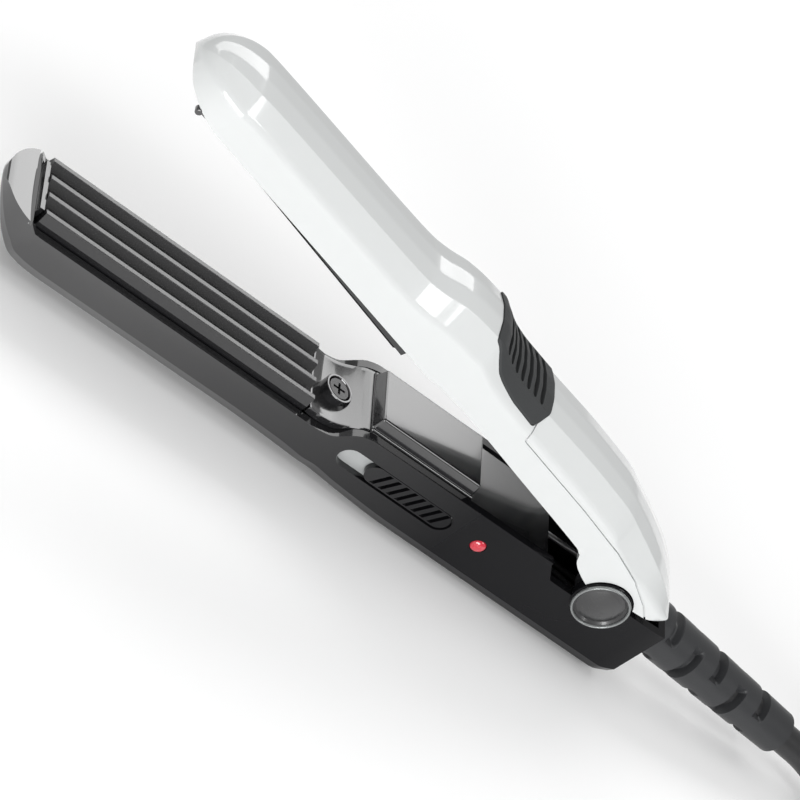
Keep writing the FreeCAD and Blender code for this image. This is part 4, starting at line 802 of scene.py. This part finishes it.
rings = []
for i in range(reliefSpec["rings"]):
    span = reliefSpec["length"] + reliefSpec["neckLength"]
    along = -reliefSpec["neckLength"] + span * i / (reliefSpec["rings"] - 1)
    ring = []
    for k in range(reliefSpec["sides"]):
        turn = 2 * math.pi * k / reliefSpec["sides"]
        radius = reliefRadius(along, turn)
        ring.append((along, -radius * math.cos(turn), radius * math.sin(turn)))
    rings.append(ring)
relief = meshPiece("relief_sleeve", *skin(rings), reliefPlace)
dressed(softened(relief, 50), reliefRubber, "lower_arm", "strain_relief", slot="relief_rubber")
print("strain relief done")

# the cord in millimetres on the bench: a lead, a hank of eight flat loops, a tail to the plug
cordSpec = {
    "diameter": 6.0,
    "length": 1.80,
    "hankLow": 104.0,
    "hankHigh": 172.0,
    "loops": [(18, 3.05), (12, 3.05), (12, 9.05), (18, 9.05), (18, 15.0), (12, 15.0), (12, 20.95),
              (18, 20.95)],
    "lead": [(66.5, 0.0, 6.33), (77.0, -7.0, 4.4), (87.0, -17.0, 3.1), (96.0, -19.8, 3.05)],
    "tail": [(183.0, -18.0, 21.0), (194.0, -16.5, 18.5), (205.0, -8.0, 11.0), (214.0, -3.0, 6.85),
             (224.0, -3.0, 6.85), (236.0, -3.0, 6.85)],
}
reach = Vector((math.cos(droop), 0, -math.sin(droop)))
reliefEnd = reliefStart + hinge / mm + reach * reliefSpec["length"]


def eased(value):
    value = min(1.0, max(0.0, value))
    return value * value * (3 - 2 * value)


def hankRoute():
    # each loop moves to the next place in turn on the far side and the end nearest the tool
    points = []
    loops = cordSpec["loops"]
    low, high = cordSpec["hankLow"], cordSpec["hankHigh"]
    count = len(loops)
    for turn, (radius, height) in enumerate(loops):
        for x in (low, (low + high) / 2, high):
            points.append(Vector((x, -radius, height)))
        if turn == count - 1:
            break
        onward, level = loops[turn + 1]
        for k in range(1, 9):
            angle = -math.pi / 2 + math.pi * k / 8
            points.append(Vector((high + radius * math.cos(angle), radius * math.sin(angle), height)))
        start = (count - 2 - turn) / (count - 1)
        for k in range(1, 15):
            share = eased((k / 14 - start) * (count - 1) * 0.85 + 0.075)
            r, z = radius + (onward - radius) * share, height + (level - height) * share
            if k <= 7:
                points.append(Vector((high + (low - high) * k / 7, r, z)))
            else:
                angle = math.pi / 2 + math.pi * (k - 7) / 7.5
                points.append(Vector((low + r * math.cos(angle), r * math.sin(angle), z)))
    return points


route = [reliefEnd - reach * 3, reliefEnd] + [Vector(place) for place in cordSpec["lead"]]
route += hankRoute() + [Vector(place) for place in cordSpec["tail"]]
curve = bpy.data.curves.new("mains_cord", "CURVE")
curve.dimensions = "3D"
spline = curve.splines.new("NURBS")
spline.points.add(len(route) - 1)
for point, place in zip(spline.points, route):
    point.co = (*(place * mm), 1)
spline.order_u = 3
spline.use_endpoint_u = True
spline.resolution_u = 6
curve.bevel_depth = cordSpec["diameter"] / 2 * mm
curve.bevel_resolution = 6
curve.use_fill_caps = True
cord = bpy.data.objects.new("mains_cord", curve)
bpy.context.scene.collection.objects.link(cord)
dressed(cord, cordJacket, "lower_arm", "cord_tube", "cord_hank", "cord_tail", slot="cord_jacket")

# plug: broad front, narrow waist, ribbed sleeve
plugSpec = {"x": 234.0, "y": -3.0, "z": 6.85, "rear": -10.0, "front": 34.0, "rib": 0.35, "ribPitch": 2.4,
            "squareFrom": 17.0, "square": 0.42, "sides": 48}
plugHalf = smooth([(-10.0, 4.8), (-5.0, 5.2), (0.0, 6.3), (5.0, 7.2), (11.0, 9.0), (17.0, 12.6), (24.0, 16.6),
                   (29.0, 17.6), (32.5, 17.4), (34.0, 16.2)])
plugTall = smooth([(-10.0, 4.7), (-5.0, 5.0), (0.0, 6.0), (11.0, 6.5), (21.0, 6.8), (32.5, 6.8), (34.0, 6.2)])


def squarish(value, power):
    return math.copysign(abs(value) ** power, value)


rings = []
for along in stations(plugSpec["rear"], plugSpec["front"], 1.0, fine=((-10, 8, 0.4), (32, 34, 0.3))):
    rib = 0.0
    if -9.5 < along < 0:
        rib = plugSpec["rib"] * max(0.0, math.sin(-along * 2 * math.pi / plugSpec["ribPitch"]))
    softer = min(1.0, max(0.0, (plugSpec["squareFrom"] - along) / plugSpec["squareFrom"]))
    power = plugSpec["square"] + (1 - plugSpec["square"]) * softer
    wide, tall = plugHalf(along) - rib, plugTall(along) - rib
    turns = [2 * math.pi * (k + 0.5) / plugSpec["sides"] for k in range(plugSpec["sides"])]
    rings.append([(plugSpec["x"] + along, plugSpec["y"] + wide * squarish(math.cos(turn), power),
                   plugSpec["z"] + tall * squarish(math.sin(turn), power)) for turn in turns])
plug = meshPiece("plug_shell", *skin(rings), Matrix.Scale(mm, 4))
dressed(softened(plug, 40), plugPlastic, "lower_arm", "plug_body", slot="plug_plastic")
print("cord and plug done")

innerFinishes = {
    innerGloss: ["lower_plate_carrier"],
    carrierPlastic: ["upper_plate_carrier", "switch_body", "circuit_triac", "cord_clamp", "upper_inner_cover",
                     "hinge_bracket"],
    heaterAlumina: ["lower_heater", "upper_heater"],
    zincSteel: ["lower_heater_clip", "upper_heater_clip", "lower_cover_screws", "hinge_pin", "hinge_spacers",
                "arm_spring", "thermal_fuse"],
    leadSleeve: ["lower_heater_leads", "upper_heater_leads"],
    blackScrew: ["lower_plate_screw", "upper_plate_screw"],
    circuitGreen: ["circuit_board"],
    mainsSleeve: ["mains_leads"],
    cordJacket: ["cord_inlet", "plug_cord_end"],
    tieStrap: ["cord_tie"],
    nickelPins: ["plug_pins"],
    acetalBush: ["hinge_bushes"],
}
for finish, nodes in innerFinishes.items():
    for node in nodes:
        piece = frame["nodes"][node]
        piece.data.materials.clear()
        piece.data.materials.append(finish)
        softened(piece, 35)
print("inner pieces finished")

bpy.ops.object.select_all(action="DESELECT")
bpy.ops.mesh.primitive_plane_add(size=6)
floor = finishPrimitive("floor")
floor.data.materials.append(finishOf("pale_floor", (0.96, 0.96, 0.96), 0.6, mottle=0.01))


def areaLight(name, place, target, size, power, height=None):
    bpy.ops.object.light_add(type="AREA", location=place)
    light = bpy.context.object
    light.name = name
    light.data.shape = "RECTANGLE"
    light.data.size = size
    light.data.size_y = height or size
    light.data.energy = power
    light.rotation_euler = (Vector(target) - Vector(place)).to_track_quat("-Z", "Y").to_euler()


areaLight("overhead", (-0.10, 0.05, 1.1), (-0.04, 0, 0), 0.8, 2.3)
areaLight("rear_softbox", (-0.16, 0.95, 0.82), (-0.16, 0, 0.02), 1.66, 6.6, 0.45)
areaLight("side_softbox", (-0.25, -1.0, 0.25), (-0.04, 0, 0.02), 0.9, 9.0, 0.35)
areaLight("edge_softbox", (0.43, -0.50, 0.74), (-0.04, 0, 0.02), 0.26, 1.1)
world = bpy.data.worlds.new("studio")
bpy.context.scene.world = world
world.use_nodes = True
world.node_tree.nodes["Background"].inputs["Color"].default_value = (1, 1, 1, 1)
world.node_tree.nodes["Background"].inputs["Strength"].default_value = 0.5

cameraSpec = {
    "place": (-0.41799, -0.53542, 0.43799),
    "forward": (0.47257708, 0.69501027, -0.54187787),
    "up": (-0.50633495, 0.71738039, 0.47852931),
    "lens": 202.5,
}
cameraData = bpy.data.cameras.new("camera")
cameraData.lens = cameraSpec["lens"]
cameraData.sensor_width = 36.0
cameraData.clip_start = 0.01
camera = bpy.data.objects.new("camera", cameraData)
bpy.context.scene.collection.objects.link(camera)
forward = Vector(cameraSpec["forward"]).normalized()
right = forward.cross(Vector(cameraSpec["up"])).normalized()
up = right.cross(forward)
turn = Matrix((right, up, -forward)).transposed().to_4x4()
camera.matrix_world = Matrix.Translation(cameraSpec["place"]) @ turn
bpy.context.scene.camera = camera
bpy.context.scene.view_settings.view_transform = "Standard"
print("stage, lights and camera done")

bpy.context.view_layer.update()
